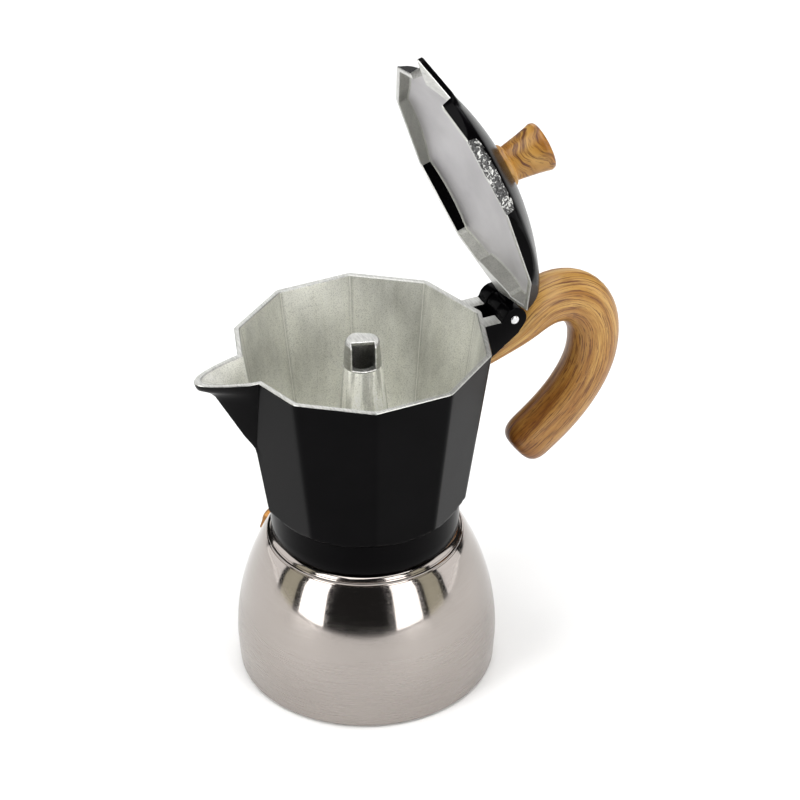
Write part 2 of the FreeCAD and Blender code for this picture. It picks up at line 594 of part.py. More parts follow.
def make_lid():
    prism = decagon_block("lid_prism", LID_FOOT, "lid_rad", LID_FOOT + "+drill_long", "lid_rad")
    bend = ("dome_arc*sin(dome_turn)", DOME_TOP + "-dome_arc*(1-cos(dome_turn))")
    edge = ("(dome_arc-edge_arc)*sin(dome_turn)+edge_arc*sin(84)",
            DOME_TOP + "-dome_arc+(dome_arc-edge_arc)*cos(dome_turn)+edge_arc*cos(84)")
    dome = revolved("lid_dome", [
        ("0", LID_FOOT + "-3"), (edge[0], LID_FOOT + "-3"), edge + ("edge_arc", 1),
        bend + ("dome_arc", 1), ("0", DOME_TOP)])
    blank = boolean("Common", "lid_blank", prism, dome)

    inner = decagon_block("lid_inner_prism", LID_FOOT + "-2", "lid_rad-lid_skin", LID_FOOT + "+drill_long",
                          "lid_rad-lid_skin")
    ball = shape("Sphere", "lid_ceiling", Radius="ceiling_arc",
                 Placement__Base__z=CEILING_TOP + "-ceiling_arc")
    hollow = boolean("Common", "lid_hollow", inner, ball)
    notch = shape("Box", "lid_notch", Length="14", Width="2*notch_half", Height="8",
                  Placement__Base__x="-60", Placement__Base__y="-notch_half",
                  Placement__Base__z=LID_FOOT + "-2")
    shell = boolean("Cut", "lid_shell", blank, boolean("MultiFuse", "lid_rooms", hollow, notch))

    plate = slab("beak_plate", [
        ("beak_root", LID_FOOT + "+5.3"), ("beak_root", LID_FOOT + "+7.8"),
        ("beak_tip", LID_FOOT + "+2.7"), ("beak_tip", LID_FOOT + "+0.5")], "beak_half+5")
    arrow = plan("beak_plan", [
        ("beak_tip", "-1.2"), ("beak_tip+beak_half", "-beak_half-1.2"),
        ("beak_tip+beak_half", "beak_half+1.2"), ("beak_tip", "1.2")], "rim_level-2", "rim_level+20")
    beak = boolean("Common", "lid_beak", plate, arrow)
    arm = slab("lid_arm", [
        ("49.4", LID_FOOT + "+0.5"), ("hinge_x", LID_FOOT + "+0.5"), ("hinge_x", "hinge_z+lug_rad"),
        ("49.4", LID_FOOT + "+5.2")], "lug_half")
    barrel = cross_pin("lid_barrel", "lug_rad", "lug_half", "hinge_x", "hinge_z")
    whole = boolean("MultiFuse", "lid_whole", shell, beak, arm, barrel)
    pin_hole = cross_pin("lid_pin_hole", "lug_bore", "lug_half+1", "hinge_x", "hinge_z")
    screw_hole = shape("Cylinder", "lid_screw_hole", Radius="knob_screw_rad+0.2",
                       Height="drill_long", Placement__Base__z=LID_FOOT + "+5")
    holes = boolean("MultiFuse", "lid_holes", pin_hole, screw_hole)
    node("lid", opened(boolean("Cut", "lid", whole, holes)))


def make_knob():
    top = DOME_TOP + "+knob_high"
    flange_top = DOME_TOP + "+knob_flange_high"
    insert_top = DOME_TOP + "+0.6+insert_high"
    node("knob", opened(revolved("knob", [
        ("insert_rad", DOME_TOP), ("knob_flange-0.7", DOME_TOP, "0.7", 1),
        ("knob_flange", DOME_TOP + "+0.7"), ("knob_flange", flange_top + "-0.7", "0.7", 1),
        ("knob_flange-0.7", flange_top), ("knob_waist", flange_top),
        ("knob_head", top + "-1.8-knob_crown", "1.8", 1), ("knob_head-1.8", top + "-knob_crown"),
        ("0", top), ("0", insert_top), ("insert_rad", insert_top)])))
    node("knob_insert", opened(revolved("knob_insert", [
        ("knob_screw_rad", DOME_TOP + "+0.6"), ("insert_rad", DOME_TOP + "+0.6"),
        ("insert_rad", insert_top), ("knob_screw_rad", insert_top)])))
    washer_top = CEILING_TOP + "-0.15"
    node("knob_washer", opened(revolved("knob_washer", [
        ("knob_screw_rad", washer_top + "-knob_washer_high"),
        ("knob_washer", washer_top + "-knob_washer_high"), ("knob_washer", washer_top),
        ("knob_screw_rad", washer_top)])))
    head_top = washer_top + "-knob_washer_high"
    screw = revolved("knob_screw_form", [
        ("0", head_top + "-knob_screw_head_high"),
        ("knob_screw_head-1.2", head_top + "-knob_screw_head_high", "2.4", 1),
        ("knob_screw_head", head_top), ("knob_screw_rad", head_top),
        ("knob_screw_rad", DOME_TOP + "+insert_high-1"), ("0", DOME_TOP + "+insert_high-1")])
    slot = shape("Box", "knob_screw_slot", Length="10", Width="1", Height="1.9",
                 Placement__Base__x="-5", Placement__Base__y="-0.5",
                 Placement__Base__z=head_top + "-knob_screw_head_high-1")
    node("knob_screw", opened(boolean("Cut", "knob_screw", screw, slot)))


# --- build, check and write --------------------------------------------------------------------

def check_and_write():
    doc.recompute()
    for thing in doc.Objects:
        if "Invalid" in thing.State or "Error" in thing.State:
            raise RuntimeError("%s failed: %s" % (thing.Name, thing.State))
    os.makedirs("parts", exist_ok=True)
    for name, thing in NODES.items():
        solid = thing.Shape
        if solid.isNull() or not solid.isValid() or not solid.Solids:
            raise RuntimeError("%s is not a sound solid" % name)
    for name, thing in NODES.items():
        solid = thing.Shape
        solid.exportStep("parts/%s.step" % name)
        print("%-18s %9.1f mm3  %d solid" % (name, solid.Volume, len(solid.Solids)))


make_boiler()
make_valve()
make_funnel()
make_gasket_and_plate()
outer_walls = make_collector()
make_column()
make_handle(outer_walls)
make_lid()
make_knob()
check_and_write()
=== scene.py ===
"""Looks of a stovetop coffee maker (moka pot) that stands with its lid open.

Lengths in the modelling code are millimetres in the pot's own frame: +Z up, +X towards the hinge.
"""
import json
import math

import bpy
from mathutils import Matrix, Vector


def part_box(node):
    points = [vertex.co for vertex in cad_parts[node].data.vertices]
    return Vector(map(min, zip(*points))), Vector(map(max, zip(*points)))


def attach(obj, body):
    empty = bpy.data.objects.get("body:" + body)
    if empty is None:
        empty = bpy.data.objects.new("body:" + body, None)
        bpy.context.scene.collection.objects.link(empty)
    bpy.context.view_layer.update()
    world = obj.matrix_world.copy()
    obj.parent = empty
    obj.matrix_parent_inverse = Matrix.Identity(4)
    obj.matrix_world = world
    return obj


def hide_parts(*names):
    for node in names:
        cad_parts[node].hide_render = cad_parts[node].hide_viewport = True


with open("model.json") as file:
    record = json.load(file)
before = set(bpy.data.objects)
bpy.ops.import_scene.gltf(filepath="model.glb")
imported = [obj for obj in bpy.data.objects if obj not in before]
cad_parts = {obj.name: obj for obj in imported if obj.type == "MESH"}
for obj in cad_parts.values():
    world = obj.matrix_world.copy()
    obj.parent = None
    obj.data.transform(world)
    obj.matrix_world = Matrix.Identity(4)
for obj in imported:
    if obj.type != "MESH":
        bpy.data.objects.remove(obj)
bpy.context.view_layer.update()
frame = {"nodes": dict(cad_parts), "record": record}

MM = 0.001


def reach(node, axis, end):
    """A face of a node's box in millimetres: axis 0, 1 or 2, end 0 for the low side and 1 for the high."""
    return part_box(node)[end][axis] / MM


LID_JOINT = next(j for j in frame["record"]["behaviour"]["joints"] if j["name"] == "lid_hinge")
HINGE_X = LID_JOINT["pos_m"][0] / MM
HINGE_Z = LID_JOINT["pos_m"][2] / MM
LID_OPEN = -LID_JOINT["range_deg"][0]

# the ten sides of the collector and the lid
SIDE_TURN = math.radians(36)
HALF_TURN = math.radians(18)
SIDE_LEAN = math.tan(HALF_TURN)
FLAT_SHARE = math.cos(HALF_TURN)

BELLY = reach("boiler_shell", 0, 1)
BELLY_LEVEL = 13.0
BELLY_ARC = 98.0
SHOULDER_ARC = 19.0
SHOULDER_FIRST = 27.4
SHOULDER_LAST = 45.6
SHEET = 1.2
NECK_TOP = reach("boiler_shell", 2, 1)
NECK_RADIUS = 34.4
DISC_RADIUS = 46.0
DISC_TOP = 3.0

COLLAR_FOOT = reach("collector", 2, 0)
COLLAR_TOP = 78.8
COLLAR_RADIUS = 37.6
COLLAR_SPREAD = 0.3
FLOOR = 86.0
RIM = 150.1
RIM_CORNER = 51.1
TAPER = 0.148
WALL = 2.1
SPOUT_TIP = reach("collector", 0, 0)
SPOUT_FOOT = 111.0
SPOUT_HALF = 11.6
SPOUT_SHARE = math.radians(13.2)

POST_TOP = reach("coffee_column", 2, 1)
CAP_TOP = reach("column_cap", 2, 1)
CAP_DEEP = 9.5
CAP_ROOF = 1.2
WINDOW_TURN = Matrix.Rotation(math.radians(-108), 4, "Z")
WINDOW_WIDE = 9.4
WINDOW_SILL = 0.6
MOUTH_DEEP = 1.2

PIN_RADIUS = (reach("hinge_pin", 2, 1) - reach("hinge_pin", 2, 0)) / 2
PIN_HALF = reach("hinge_pin", 1, 1)

LID_FOOT = RIM + 0.2
LID_CORNER = 52.7
LID_WALL = 2.3
DOME_HIGH = 17.5
BEAK = 62.9
BEAK_FROM = 44.0
OPENED = (Matrix.Translation((HINGE_X, 0, HINGE_Z)) @ Matrix.Rotation(math.radians(LID_OPEN), 4, "Y")
          @ Matrix.Translation((-HINGE_X, 0, -HINGE_Z)))


# ---------------------------------------------------------------------------------------------
# modelling helpers
# ---------------------------------------------------------------------------------------------

def start():
    """Leave edit mode with nothing selected."""
    if bpy.context.object and bpy.context.object.mode != "OBJECT":
        bpy.ops.object.mode_set(mode="OBJECT")
    bpy.ops.object.select_all(action="DESELECT")


def named(name):
    piece = bpy.context.object
    piece.name = name
    piece.data.name = name
    return piece


def clean(piece):
    """Merge doubled points and turn every face outwards."""
    start()
    bpy.context.view_layer.objects.active = piece
    piece.select_set(True)
    bpy.ops.object.mode_set(mode="EDIT")
    bpy.ops.mesh.select_all(action="SELECT")
    bpy.ops.mesh.remove_doubles(threshold=0.004 * MM)
    bpy.ops.mesh.normals_make_consistent(inside=False)
    bpy.ops.object.mode_set(mode="OBJECT")
    return piece


def smooth(piece, angle=32.0):
    start()
    bpy.context.view_layer.objects.active = piece
    piece.select_set(True)
    bpy.ops.object.shade_smooth_by_angle(angle=math.radians(angle))
    return piece


def applied(piece, kind, **settings):
    """Add a modifier and apply it."""
    start()
    bpy.context.view_layer.objects.active = piece
    piece.select_set(True)
    modifier = piece.modifiers.new(kind.title(), kind)
    for name, value in settings.items():
        setattr(modifier, name, value)
    bpy.ops.object.modifier_apply(modifier=modifier.name)
    return piece


def softened(piece, width, angle=28.0, segments=3):
    return applied(piece, "BEVEL", width=width * MM, segments=segments, limit_method="ANGLE",
                   angle_limit=math.radians(angle), harden_normals=False, use_clamp_overlap=True)


def placed(piece, matrix):
    """Put a place or a turn, in millimetres, into the mesh."""
    scale = Matrix.Scale(MM, 4)
    piece.data.transform(scale @ matrix @ scale.inverted())
    return piece


def wrapped(name, columns, rows, place):
    """A sheet of quads. place(u, row) gives a point in millimetres; u runs from 0 to 1."""
    start()
    bpy.ops.mesh.primitive_grid_add(x_subdivisions=columns, y_subdivisions=rows - 1, size=1.0)
    piece = named(name)
    for point in piece.data.vertices:
        u = point.co.x + 0.5
        row = round((point.co.y + 0.5) * (rows - 1))
        point.co = Vector(place(u, row)) * MM
    return clean(piece)


def rounded(corners, steps=4):
    """An outline whose corners given as (r, z, radius) are rounded."""
    outline = []
    count = len(corners)
    for i, corner in enumerate(corners):
        here = Vector(corner[:2])
        if len(corner) < 3 or i in (0, count - 1):
            outline.append(here)
            continue
        before = Vector(corners[i - 1][:2]) - here
        after = Vector(corners[i + 1][:2]) - here
        half = before.angle(after) / 2
        back = min(corner[2] / math.tan(half), before.length * 0.49, after.length * 0.49)
        first = here + before.normalized() * back
        last = here + after.normalized() * back
        for k in range(steps + 1):
            t = k / steps
            outline.append(first * (1 - t) ** 2 + here * 2 * t * (1 - t) + last * t ** 2)
    return outline


def lathe(name, corners, steps):
    """Spin an outline of (r, z) or (r, z, rounding) corners about Z.

    The outline starts and ends on the axis, or ends where it began.
    """
    outline = rounded(corners)
    start()
    bpy.ops.mesh.primitive_plane_add(size=0.001)
    piece = named(name)
    bpy.ops.object.mode_set(mode="EDIT")
    bpy.ops.mesh.merge(type="CENTER")
    first = Vector((outline[0].x, 0, outline[0].y)) * MM
    bpy.ops.transform.translate(value=first)
    for a, b in zip(outline, outline[1:]):
        step = Vector((b.x - a.x, 0, b.y - a.y)) * MM
        bpy.ops.mesh.extrude_region_move(TRANSFORM_OT_translate={"value": step})
    bpy.ops.mesh.select_all(action="SELECT")
    bpy.ops.mesh.spin(steps=steps, angle=math.tau, center=(0, 0, 0), axis=(0, 0, 1))
    bpy.ops.object.mode_set(mode="OBJECT")
    return clean(piece)


def slab(name, outline, low, high, soft=0.4):
    """An outline in the XZ plane extruded along Y from low to high, its edges softened."""
    start()
    bpy.ops.mesh.primitive_circle_add(vertices=len(outline), radius=1, fill_type="NGON")
    piece = named(name)
    for point, (x, z) in zip(piece.data.vertices, outline):
        point.co = Vector((x, low, z)) * MM
    bpy.ops.object.mode_set(mode="EDIT")
    bpy.ops.mesh.select_all(action="SELECT")
    bpy.ops.mesh.extrude_region_move(TRANSFORM_OT_translate={"value": (0, (high - low) * MM, 0)})
    bpy.ops.object.mode_set(mode="OBJECT")
    clean(piece)
    return softened(piece, soft)


def arc(cx, cz, radius, first, last, steps):
    """Points of an arc in the XZ plane, by angles in degrees."""
    points = []
    for k in range(steps + 1):
        a = math.radians(first + (last - first) * k / steps)
        points.append((cx + radius * math.cos(a), cz + radius * math.sin(a)))
    return points


def running(points):
    """The length of a path up to each of its points."""
    run = [0.0]
    for a, b in zip(points, points[1:]):
        run.append(run[-1] + (b - a).length)
    return run


def unrolled(piece, run, along, turns=1):
    """Lay a wrapped sheet's UVs out by length: run in units of along, and turns times round."""
    for corner in piece.data.uv_layers.active.data:
        u, v = corner.uv
        corner.uv = (run[round(v * (len(run) - 1))] / along, u * turns)


def joined(name, *pieces):
    start()
    for piece in pieces:
        piece.select_set(True)
    bpy.context.view_layer.objects.active = pieces[0]
    bpy.ops.object.join()
    return named(name)


# ---------------------------------------------------------------------------------------------
# materials
# ---------------------------------------------------------------------------------------------

class Finish:
    """A node material with one shader, its coordinates and a few short ways to add nodes."""

    def __init__(self, name, **sockets):
        self.material = bpy.data.materials.new(name)
        self.material.use_nodes = True
        self.nodes = self.material.node_tree.nodes
        self.links = self.material.node_tree.links
        self.shader = self.nodes["Principled BSDF"]
        for socket, value in sockets.items():
            self.shader.inputs[socket.replace("_", " ")].default_value = value
        self.place = self.nodes.new("ShaderNodeTexCoord")

    def add(self, kind, **sockets):
        node = self.nodes.new("ShaderNode" + kind)
        for socket, value in sockets.items():
            self.set(node, socket.replace("_", " "), value)
        return node

    def set(self, node, socket, value):
        if isinstance(value, bpy.types.NodeSocket):
            self.links.new(value, node.inputs[socket])
        else:
            node.inputs[socket].default_value = value

    def mapped(self, scale):
        return self.add("Mapping", Vector=self.place.outputs["Object"], Scale=scale).outputs["Vector"]

    def even(self, scale, detail=4.0, rough=0.55, distortion=0.0):
        """Noise that is the same size in every direction."""
        return self.noise(self.mapped((1, 1, 1)), scale, detail, rough, distortion)

    def noise(self, vector, scale, detail=4.0, rough=0.55, distortion=0.0):
        return self.add("TexNoise", Vector=vector, Scale=scale, Detail=detail, Roughness=rough,
                        Distortion=distortion).outputs["Fac"]

    def ramp(self, value, *stops):
        ramp = self.nodes.new("ShaderNodeValToRGB")
        band = ramp.color_ramp
        while len(band.elements) < len(stops):
            band.elements.new(0.5)
        for element, (place, colour) in zip(band.elements, stops):
            element.position = place
            element.color = colour if isinstance(colour, tuple) else (colour, colour, colour, 1)
        self.links.new(value, ramp.inputs["Fac"])
        return ramp.outputs["Color"]

    def math(self, operation, first, second=0.0):
        node = self.nodes.new("ShaderNodeMath")
        node.operation = operation
        self.set(node, 0, first)
        self.set(node, 1, second)
        return node.outputs["Value"]

    def mix(self, factor, first, second, blend="MIX"):
        node = self.nodes.new("ShaderNodeMixRGB")
        node.blend_type = blend
        self.set(node, "Fac", factor)
        self.set(node, "Color1", first)
        self.set(node, "Color2", second)
        return node.outputs["Color"]

    def bump(self, height, strength, distance, under=None):
        node = self.add("Bump", Height=height, Strength=strength, Distance=distance)
        if under is not None:
            self.links.new(under, node.inputs["Normal"])
        return node.outputs["Normal"]

    def wear(self, **sockets):
        for socket, value in sockets.items():
            self.set(self.shader, socket.replace("_", " "), value)
        return self.material


def enamel():
    """Semi-gloss black paint with a little orange peel and dust."""
    f = Finish("black_enamel", Metallic=0.0, Specular_IOR_Level=0.035, IOR=1.5)
    peel = f.even(900, 3)
    cloud = f.even(45, 5)
    colour = f.ramp(cloud, (0.3, (0.0004, 0.0003, 0.0005, 1)), (0.75, (0.0014, 0.0012, 0.0016, 1)))
    rough = f.ramp(cloud, (0.3, 0.16), (0.75, 0.24))
    return f.wear(Base_Color=colour, Roughness=rough, Normal=f.bump(peel, 0.05, 0.0001))


def enamel_with_painted_glints():
    """The same paint, glassy and rippled so it breaks up what it mirrors, with bright spots in its colour
    that are a painted broken reflection.
    """
    f = Finish("enamel_with_painted_glints", Metallic=0.0, Specular_IOR_Level=0.9, IOR=1.5)
    ripple = f.even(620, 4, 0.7, 0.8)
    # painted highlight: bright grey spots in the black colour stand for broken glints
    spots = f.ramp(ripple, (0.53, 0.0), (0.58, 1.0))
    colour = f.mix(spots, (0.001, 0.0009, 0.0012, 1), (0.60, 0.60, 0.58, 1))
    return f.wear(Base_Color=colour, Roughness=f.ramp(ripple, (0.3, 0.06), (0.7, 0.16)),
                  Normal=f.bump(ripple, 0.7, 0.0006))


def cast_inside(name, corners=False, painted_light_scale=1.0, drawn_tone=1.0):
    """Bare die-cast aluminium: sandy, with upright draw marks and, if asked, down each inner corner a
    bright line that is a painted highlight over a small bump bead, with painted shade beside it.

    The third argument scales the tone: below 1 it paints shade and above 1 it paints light on a copy of the
    same metal; drawn_tone is how dark the draw marks are.
    """
    f = Finish(name, Metallic=0.8, IOR=1.5)
    sand = f.even(1500, 3, 0.7)
    grit = f.even(420, 4, 0.6)
    drawn = f.noise(f.mapped((1, 1, 0.06)), 260, 4, 0.6)
    cloud = f.noise(f.mapped((1, 1, 0.5)), 38, 5)
    tone = f.ramp(cloud, *((at, (v * painted_light_scale, v * painted_light_scale, v * painted_light_scale * 0.925, 1))
                           for at, v in ((0.30, 0.50), (0.5, 0.80), (0.70, 1.0))))
    tone = f.mix(1.0, tone, f.ramp(drawn, (0.42, drawn_tone), (0.56, 1.0)), "MULTIPLY")
    speck = f.even(2400, 2)
    tone = f.mix(1.0, tone, f.ramp(speck, (0.34, 0.70), (0.52, 1.0)), "MULTIPLY")
    tone = f.mix(0.16, tone, f.ramp(drawn, (0.35, 0.45), (0.65, 0.9)), "OVERLAY")
    rough = f.ramp(cloud, (0.2, 0.36), (0.8, 0.56))
    under = f.bump(drawn, 0.12, 0.0004)
    if corners:
        around = f.add("SeparateXYZ", Vector=f.place.outputs["UV"]).outputs["X"]
        sides = f.math("MULTIPLY", around, 10.0)
        off = f.math("ABSOLUTE", f.math("SUBTRACT", f.math("FRACT", f.math("ADD", sides, 0.5)), 0.5))
        # a painted highlight line down each inner corner, with painted shade in a band beside it
        bump_bead_and_painted_highlight = f.ramp(off, (0.0, 0.7), (0.006, 0.5), (0.011, 0.0))
        shade = f.ramp(off, (0.009, 0.0), (0.014, 0.3), (0.05, 0.0))
        tone = f.mix(shade, tone, (0.30, 0.30, 0.26, 1))
        tone = f.mix(bump_bead_and_painted_highlight, tone, (0.97, 0.97, 0.92, 1))
        under = f.bump(bump_bead_and_painted_highlight, 0.6, 0.0006, under)
    normal = f.bump(f.mix(0.5, sand, grit), 0.8, 0.00035, under)
    return f.wear(Base_Color=tone, Roughness=rough, Normal=normal)


def machined():
    """Freshly cut rim: bright with fine parallel cutter lines."""
    f = Finish("machined_aluminium", Metallic=1.0)
    lines = f.noise(f.mapped((1, 0.15, 1)), 1600, 2)
    colour = f.ramp(lines, (0.3, (0.40, 0.40, 0.385, 1)), (0.7, (0.62, 0.62, 0.595, 1)))
    return f.wear(Base_Color=colour, Roughness=f.ramp(lines, (0.3, 0.30), (0.7, 0.46)),
                  Normal=f.bump(lines, 0.15, 0.0001))


def lid_inside():
    """Smooth polished inner face of the lid with a faint haze."""
    f = Finish("polished_lid_inside", Metallic=0.9)
    haze = f.even(60, 5)
    fine = f.even(700, 3)
    colour = f.ramp(haze, (0.3, (0.44, 0.43, 0.44, 1)), (0.7, (0.55, 0.54, 0.55, 1)))
    return f.wear(Base_Color=colour, Roughness=f.ramp(haze, (0.3, 0.42), (0.7, 0.52)),
                  Normal=f.bump(fine, 0.06, 0.0002))


def stainless():
    """Deep-drawn stainless steel: brushed round the belly, mirror bright on the shoulder."""
    f = Finish("stainless_steel", Metallic=1.0)
    height = f.add("SeparateXYZ", Vector=f.place.outputs["Object"]).outputs["Z"]
    wobble = f.even(40, 3)
    level = f.math("ADD", height, f.math("MULTIPLY", wobble, 0.006))
    shiny = f.add("MapRange", Value=level).outputs["Result"]
    satin_top, mirror_foot = 0.034, 0.044
    shiny.node.inputs["From Min"].default_value = satin_top
    shiny.node.inputs["From Max"].default_value = mirror_foot
    brushed = f.noise(f.mapped((1, 1, 40)), 60, 5, 0.6)
    scratch = f.noise(f.mapped((1, 1, 9)), 260, 6, 0.7, 0.4)
    share = f.ramp(brushed, (0.35, 0.0), (0.65, 1.0))
    colour = f.mix(share, (0.345, 0.312, 0.290, 1), (0.365, 0.333, 0.311, 1))
    satin = f.ramp(brushed, (0.3, 0.24), (0.7, 0.31))
    mirror = f.ramp(scratch, (0.45, 0.06), (0.75, 0.16))
    rough = f.mix(shiny, satin, mirror)
    hairs = f.noise(f.mapped((1, 1, 3.5)), 420, 3, 0.6, 1.6)
    zone = f.ramp(f.math("MULTIPLY", level, 20.0), (0.72, 0.0), (0.80, 1.0), (0.90, 1.0), (0.98, 0.15))
    scuffs = f.math("MULTIPLY", f.ramp(hairs, (0.492, 0.0), (0.5, 1.0), (0.508, 0.0)), zone)
    rough = f.math("MAXIMUM", rough, f.math("MULTIPLY", scuffs, 0.26))
    under = f.bump(scuffs, 0.10, 0.0002)
    return f.wear(Base_Color=colour, Roughness=rough, Normal=f.bump(brushed, 0.014, 0.0002, under))


def plain_metal(name, colour, rough, scale=500.0, lines=(1, 1, 1)):
    """Bare metal with a fine grain, stretched by lines."""
    f = Finish(name, Metallic=1.0)
    grain = f.noise(f.mapped(lines), scale, 4)
    dark = tuple(c * 0.82 for c in colour) + (1,)
    tone = f.ramp(grain, (0.3, dark), (0.7, tuple(colour) + (1,)))
    return f.wear(Base_Color=tone, Roughness=f.ramp(grain, (0.3, rough * 0.8), (0.7, rough * 1.25)),
                  Normal=f.bump(grain, 0.08, 0.0002))


def rubbery(name, colour, rough):
    """Dull, faintly mottled rubber or fibre."""
    f = Finish(name, Metallic=0.0)
    grain = f.even(900, 3)
    cloud = f.even(60, 3)
    tone = f.ramp(cloud, (0.3, tuple(c * 0.88 for c in colour) + (1,)), (0.7, tuple(colour) + (1,)))
    return f.wear(Base_Color=tone, Roughness=f.ramp(grain, (0.3, rough * 0.9), (0.7, min(1, rough * 1.1))),
                  Normal=f.bump(grain, 0.15, 0.0002))


def lacquered(name):
    return Finish(name, Metallic=0.0, Coat_Weight=0.12, Coat_Roughness=0.25, Specular_IOR_Level=0.35)


def shifted(f, first, second):
    """The sum of two vectors."""
    node = f.add("VectorMath")
    node.operation = "ADD"
    f.set(node, 0, first)
    f.set(node, 1, second)
    return node.outputs["Vector"]


def wood_colours(f, broad, veins, pores, edge=None):
    """Honey wood with dark veins and pores, darker still where edge is 1; on the grip that is painted shade
    on the inner side of the hook, and the colour also darkens towards the grip's end.
    """
    honey = f.ramp(broad, (0.30, (0.24, 0.095, 0.014, 1)), (0.43, (0.36, 0.17, 0.032, 1)),
                   (0.56, (0.47, 0.26, 0.064, 1)), (0.72, (0.56, 0.345, 0.110, 1)))
    streak = f.ramp(veins, (0.36, 0.0), (0.44, 0.55), (0.50, 1.0))
    colour = f.mix(streak, (0.13, 0.042, 0.012, 1), honey)
    dark = f.ramp(pores, (0.36, 0.35), (0.46, 1.0))
    colour = f.mix(0.6, colour, f.mix(1.0, colour, dark, "MULTIPLY"))
    if edge is not None:
        colour = f.mix(edge, colour, f.mix(1.0, colour, (0.55, 0.36, 0.20, 1), "MULTIPLY"))
    return colour


def grip_wood():
    """Honey wood-grain print under clear lacquer, its streaks along the grip: u runs along, v around."""
    f = lacquered("grip_wood_print")
    parts = f.add("SeparateXYZ", Vector=f.place.outputs["UV"])
    turn = f.math("MULTIPLY", parts.outputs["Y"], math.tau)
    ring = f.add("CombineXYZ", X=parts.outputs["X"], Y=f.math("SINE", turn), Z=f.math("COSINE", turn))
    plain = ring.outputs["Vector"]
    drift = f.noise(f.add("Mapping", Vector=plain, Scale=(2.2, 1.1, 1.1)).outputs["Vector"], 1.0, 3)
    sway = f.add("CombineXYZ", Y=f.math("MULTIPLY", drift, 0.55), Z=f.math("MULTIPLY", drift, 0.35))
    bent = shifted(f, plain, sway.outputs["Vector"])

    def grain(along, across, detail):
        place = f.add("Mapping", Vector=bent, Scale=(along, across, across)).outputs["Vector"]
        return f.noise(place, 1.0, detail, 0.6)

    broad = grain(1.6, 2.6, 3)
    veins = grain(6.0, 19.0, 5)
    pores = grain(18.0, 48.0, 3)
    # painted shade: the colour darkens on the inner, concave side of the hook, and also along the lower arm
    # towards the end
    section = f.math("MULTIPLY", f.math("ADD", f.math("COSINE", turn), 1.0), 0.5)
    inner = f.ramp(section, (0.03, 1.0), (0.30, 0.0))
    length_share = f.math("MULTIPLY", parts.outputs["X"], 0.75)
    tips = f.ramp(length_share, (0.55, 0.0), (0.80, 0.45), (0.93, 0.5), (1.0, 1.0))
    edge = f.math("MAXIMUM", f.math("MULTIPLY", inner, 0.6), tips)
    colour = wood_colours(f, broad, veins, pores, edge)
    return f.wear(Base_Color=colour, Roughness=f.ramp(veins, (0.3, 0.44), (0.7, 0.34)),
                  Normal=f.bump(veins, 0.10, 0.0003))


def knob_wood():
    """The same print on the knob: nested curved bands that run across it."""
    f = lacquered("knob_wood_print")
    centre = OPENED @ Vector((0, 0, LID_FOOT + DOME_HIGH + 10))
    place = f.add("Mapping", Vector=f.place.outputs["Object"], Location=tuple(-centre * MM))
    tilted = f.add("Mapping", Vector=place.outputs["Vector"], Rotation=(0.3, 0.75, 0.5)).outputs["Vector"]
    warp = f.noise(f.add("Mapping", Vector=tilted, Scale=(60, 90, 60)).outputs["Vector"], 1.0, 2)
    sway = f.add("CombineXYZ", X=f.math("MULTIPLY", warp, 0.012))
    bent = shifted(f, tilted, sway.outputs["Vector"])

    def grain(along, across, detail):
        stretched = f.add("Mapping", Vector=bent, Scale=(across, along, along * 1.6))
        return f.noise(stretched.outputs["Vector"], 1.0, detail, 0.6)

    broad = grain(24, 130, 3)
    veins = grain(50, 620, 5)
    pores = grain(160, 1500, 3)
    colour = f.mix(0.7, wood_colours(f, broad, veins, pores), (0.84, 0.71, 0.44, 1), "MULTIPLY")
    return f.wear(Base_Color=colour, Roughness=f.ramp(veins, (0.3, 0.44), (0.7, 0.34)),
                  Normal=f.bump(veins, 0.10, 0.0003))


ENAMEL = enamel()
PAINTED_GLINT_ENAMEL = enamel_with_painted_glints()
CAST = cast_inside("bare_cast_aluminium")
CUP_INSIDE = cast_inside("cast_cup_inside", True)
# a darker copy of the cast metal: painted shade on the lid's inner wall
SHADED_LID_CAST = cast_inside("cast_lid_wall_painted_shade", False, 0.55)
# a brighter copy of the cast metal: painted light on the post, with darker draw marks
POST = cast_inside("drawn_post_painted_light", False, 1.25, 0.6)
MACHINED = machined()
LID_INSIDE = lid_inside()
STEEL = stainless()
BURR = plain_metal("bright_burr", (0.93, 0.93, 0.91), 0.35)
PLATED = plain_metal("plated_steel", (0.70, 0.70, 0.71), 0.25)
TURNED = plain_metal("turned_disc", (0.60, 0.59, 0.58), 0.33, 700)
BRASS = plain_metal("turned_brass", (0.30, 0.145, 0.045), 0.34, 600)
PRESSED = plain_metal("pressed_aluminium", (0.78, 0.78, 0.78), 0.34, 300, (1, 1, 6))
SILICONE = rubbery("silicone", (0.84, 0.82, 0.76), 0.55)
FIBRE = rubbery("fibre_washer", (0.36, 0.10, 0.07), 0.8)
GRIP_WOOD = grip_wood()
KNOB_WOOD = knob_wood()


def dress(piece, *finishes):
    """Give a piece its materials, in the order of its slots."""
    piece.data.materials.clear()
    for finish in finishes:
        piece.data.materials.append(finish)
    return piece


def paint_rows(piece, rows, slots):
    """Give each band of a wrapped sheet, between one row and the next, its slot. UVs hold the rows."""
    layer = piece.data.uv_layers.active.data
    for face in piece.data.polygons:
        low = min(layer[k].uv.y for k in face.loop_indices)
        face.material_index = slots[min(round(low * (rows - 1)), rows - 2)]
    return piece


def paint(piece, slot, chosen):
    """Give a material slot to the faces for which chosen(centre, normal) holds, both in millimetres."""
    for face in piece.data.polygons:
        if chosen(face.center / MM, face.normal):
            face.material_index = slot
    return piece


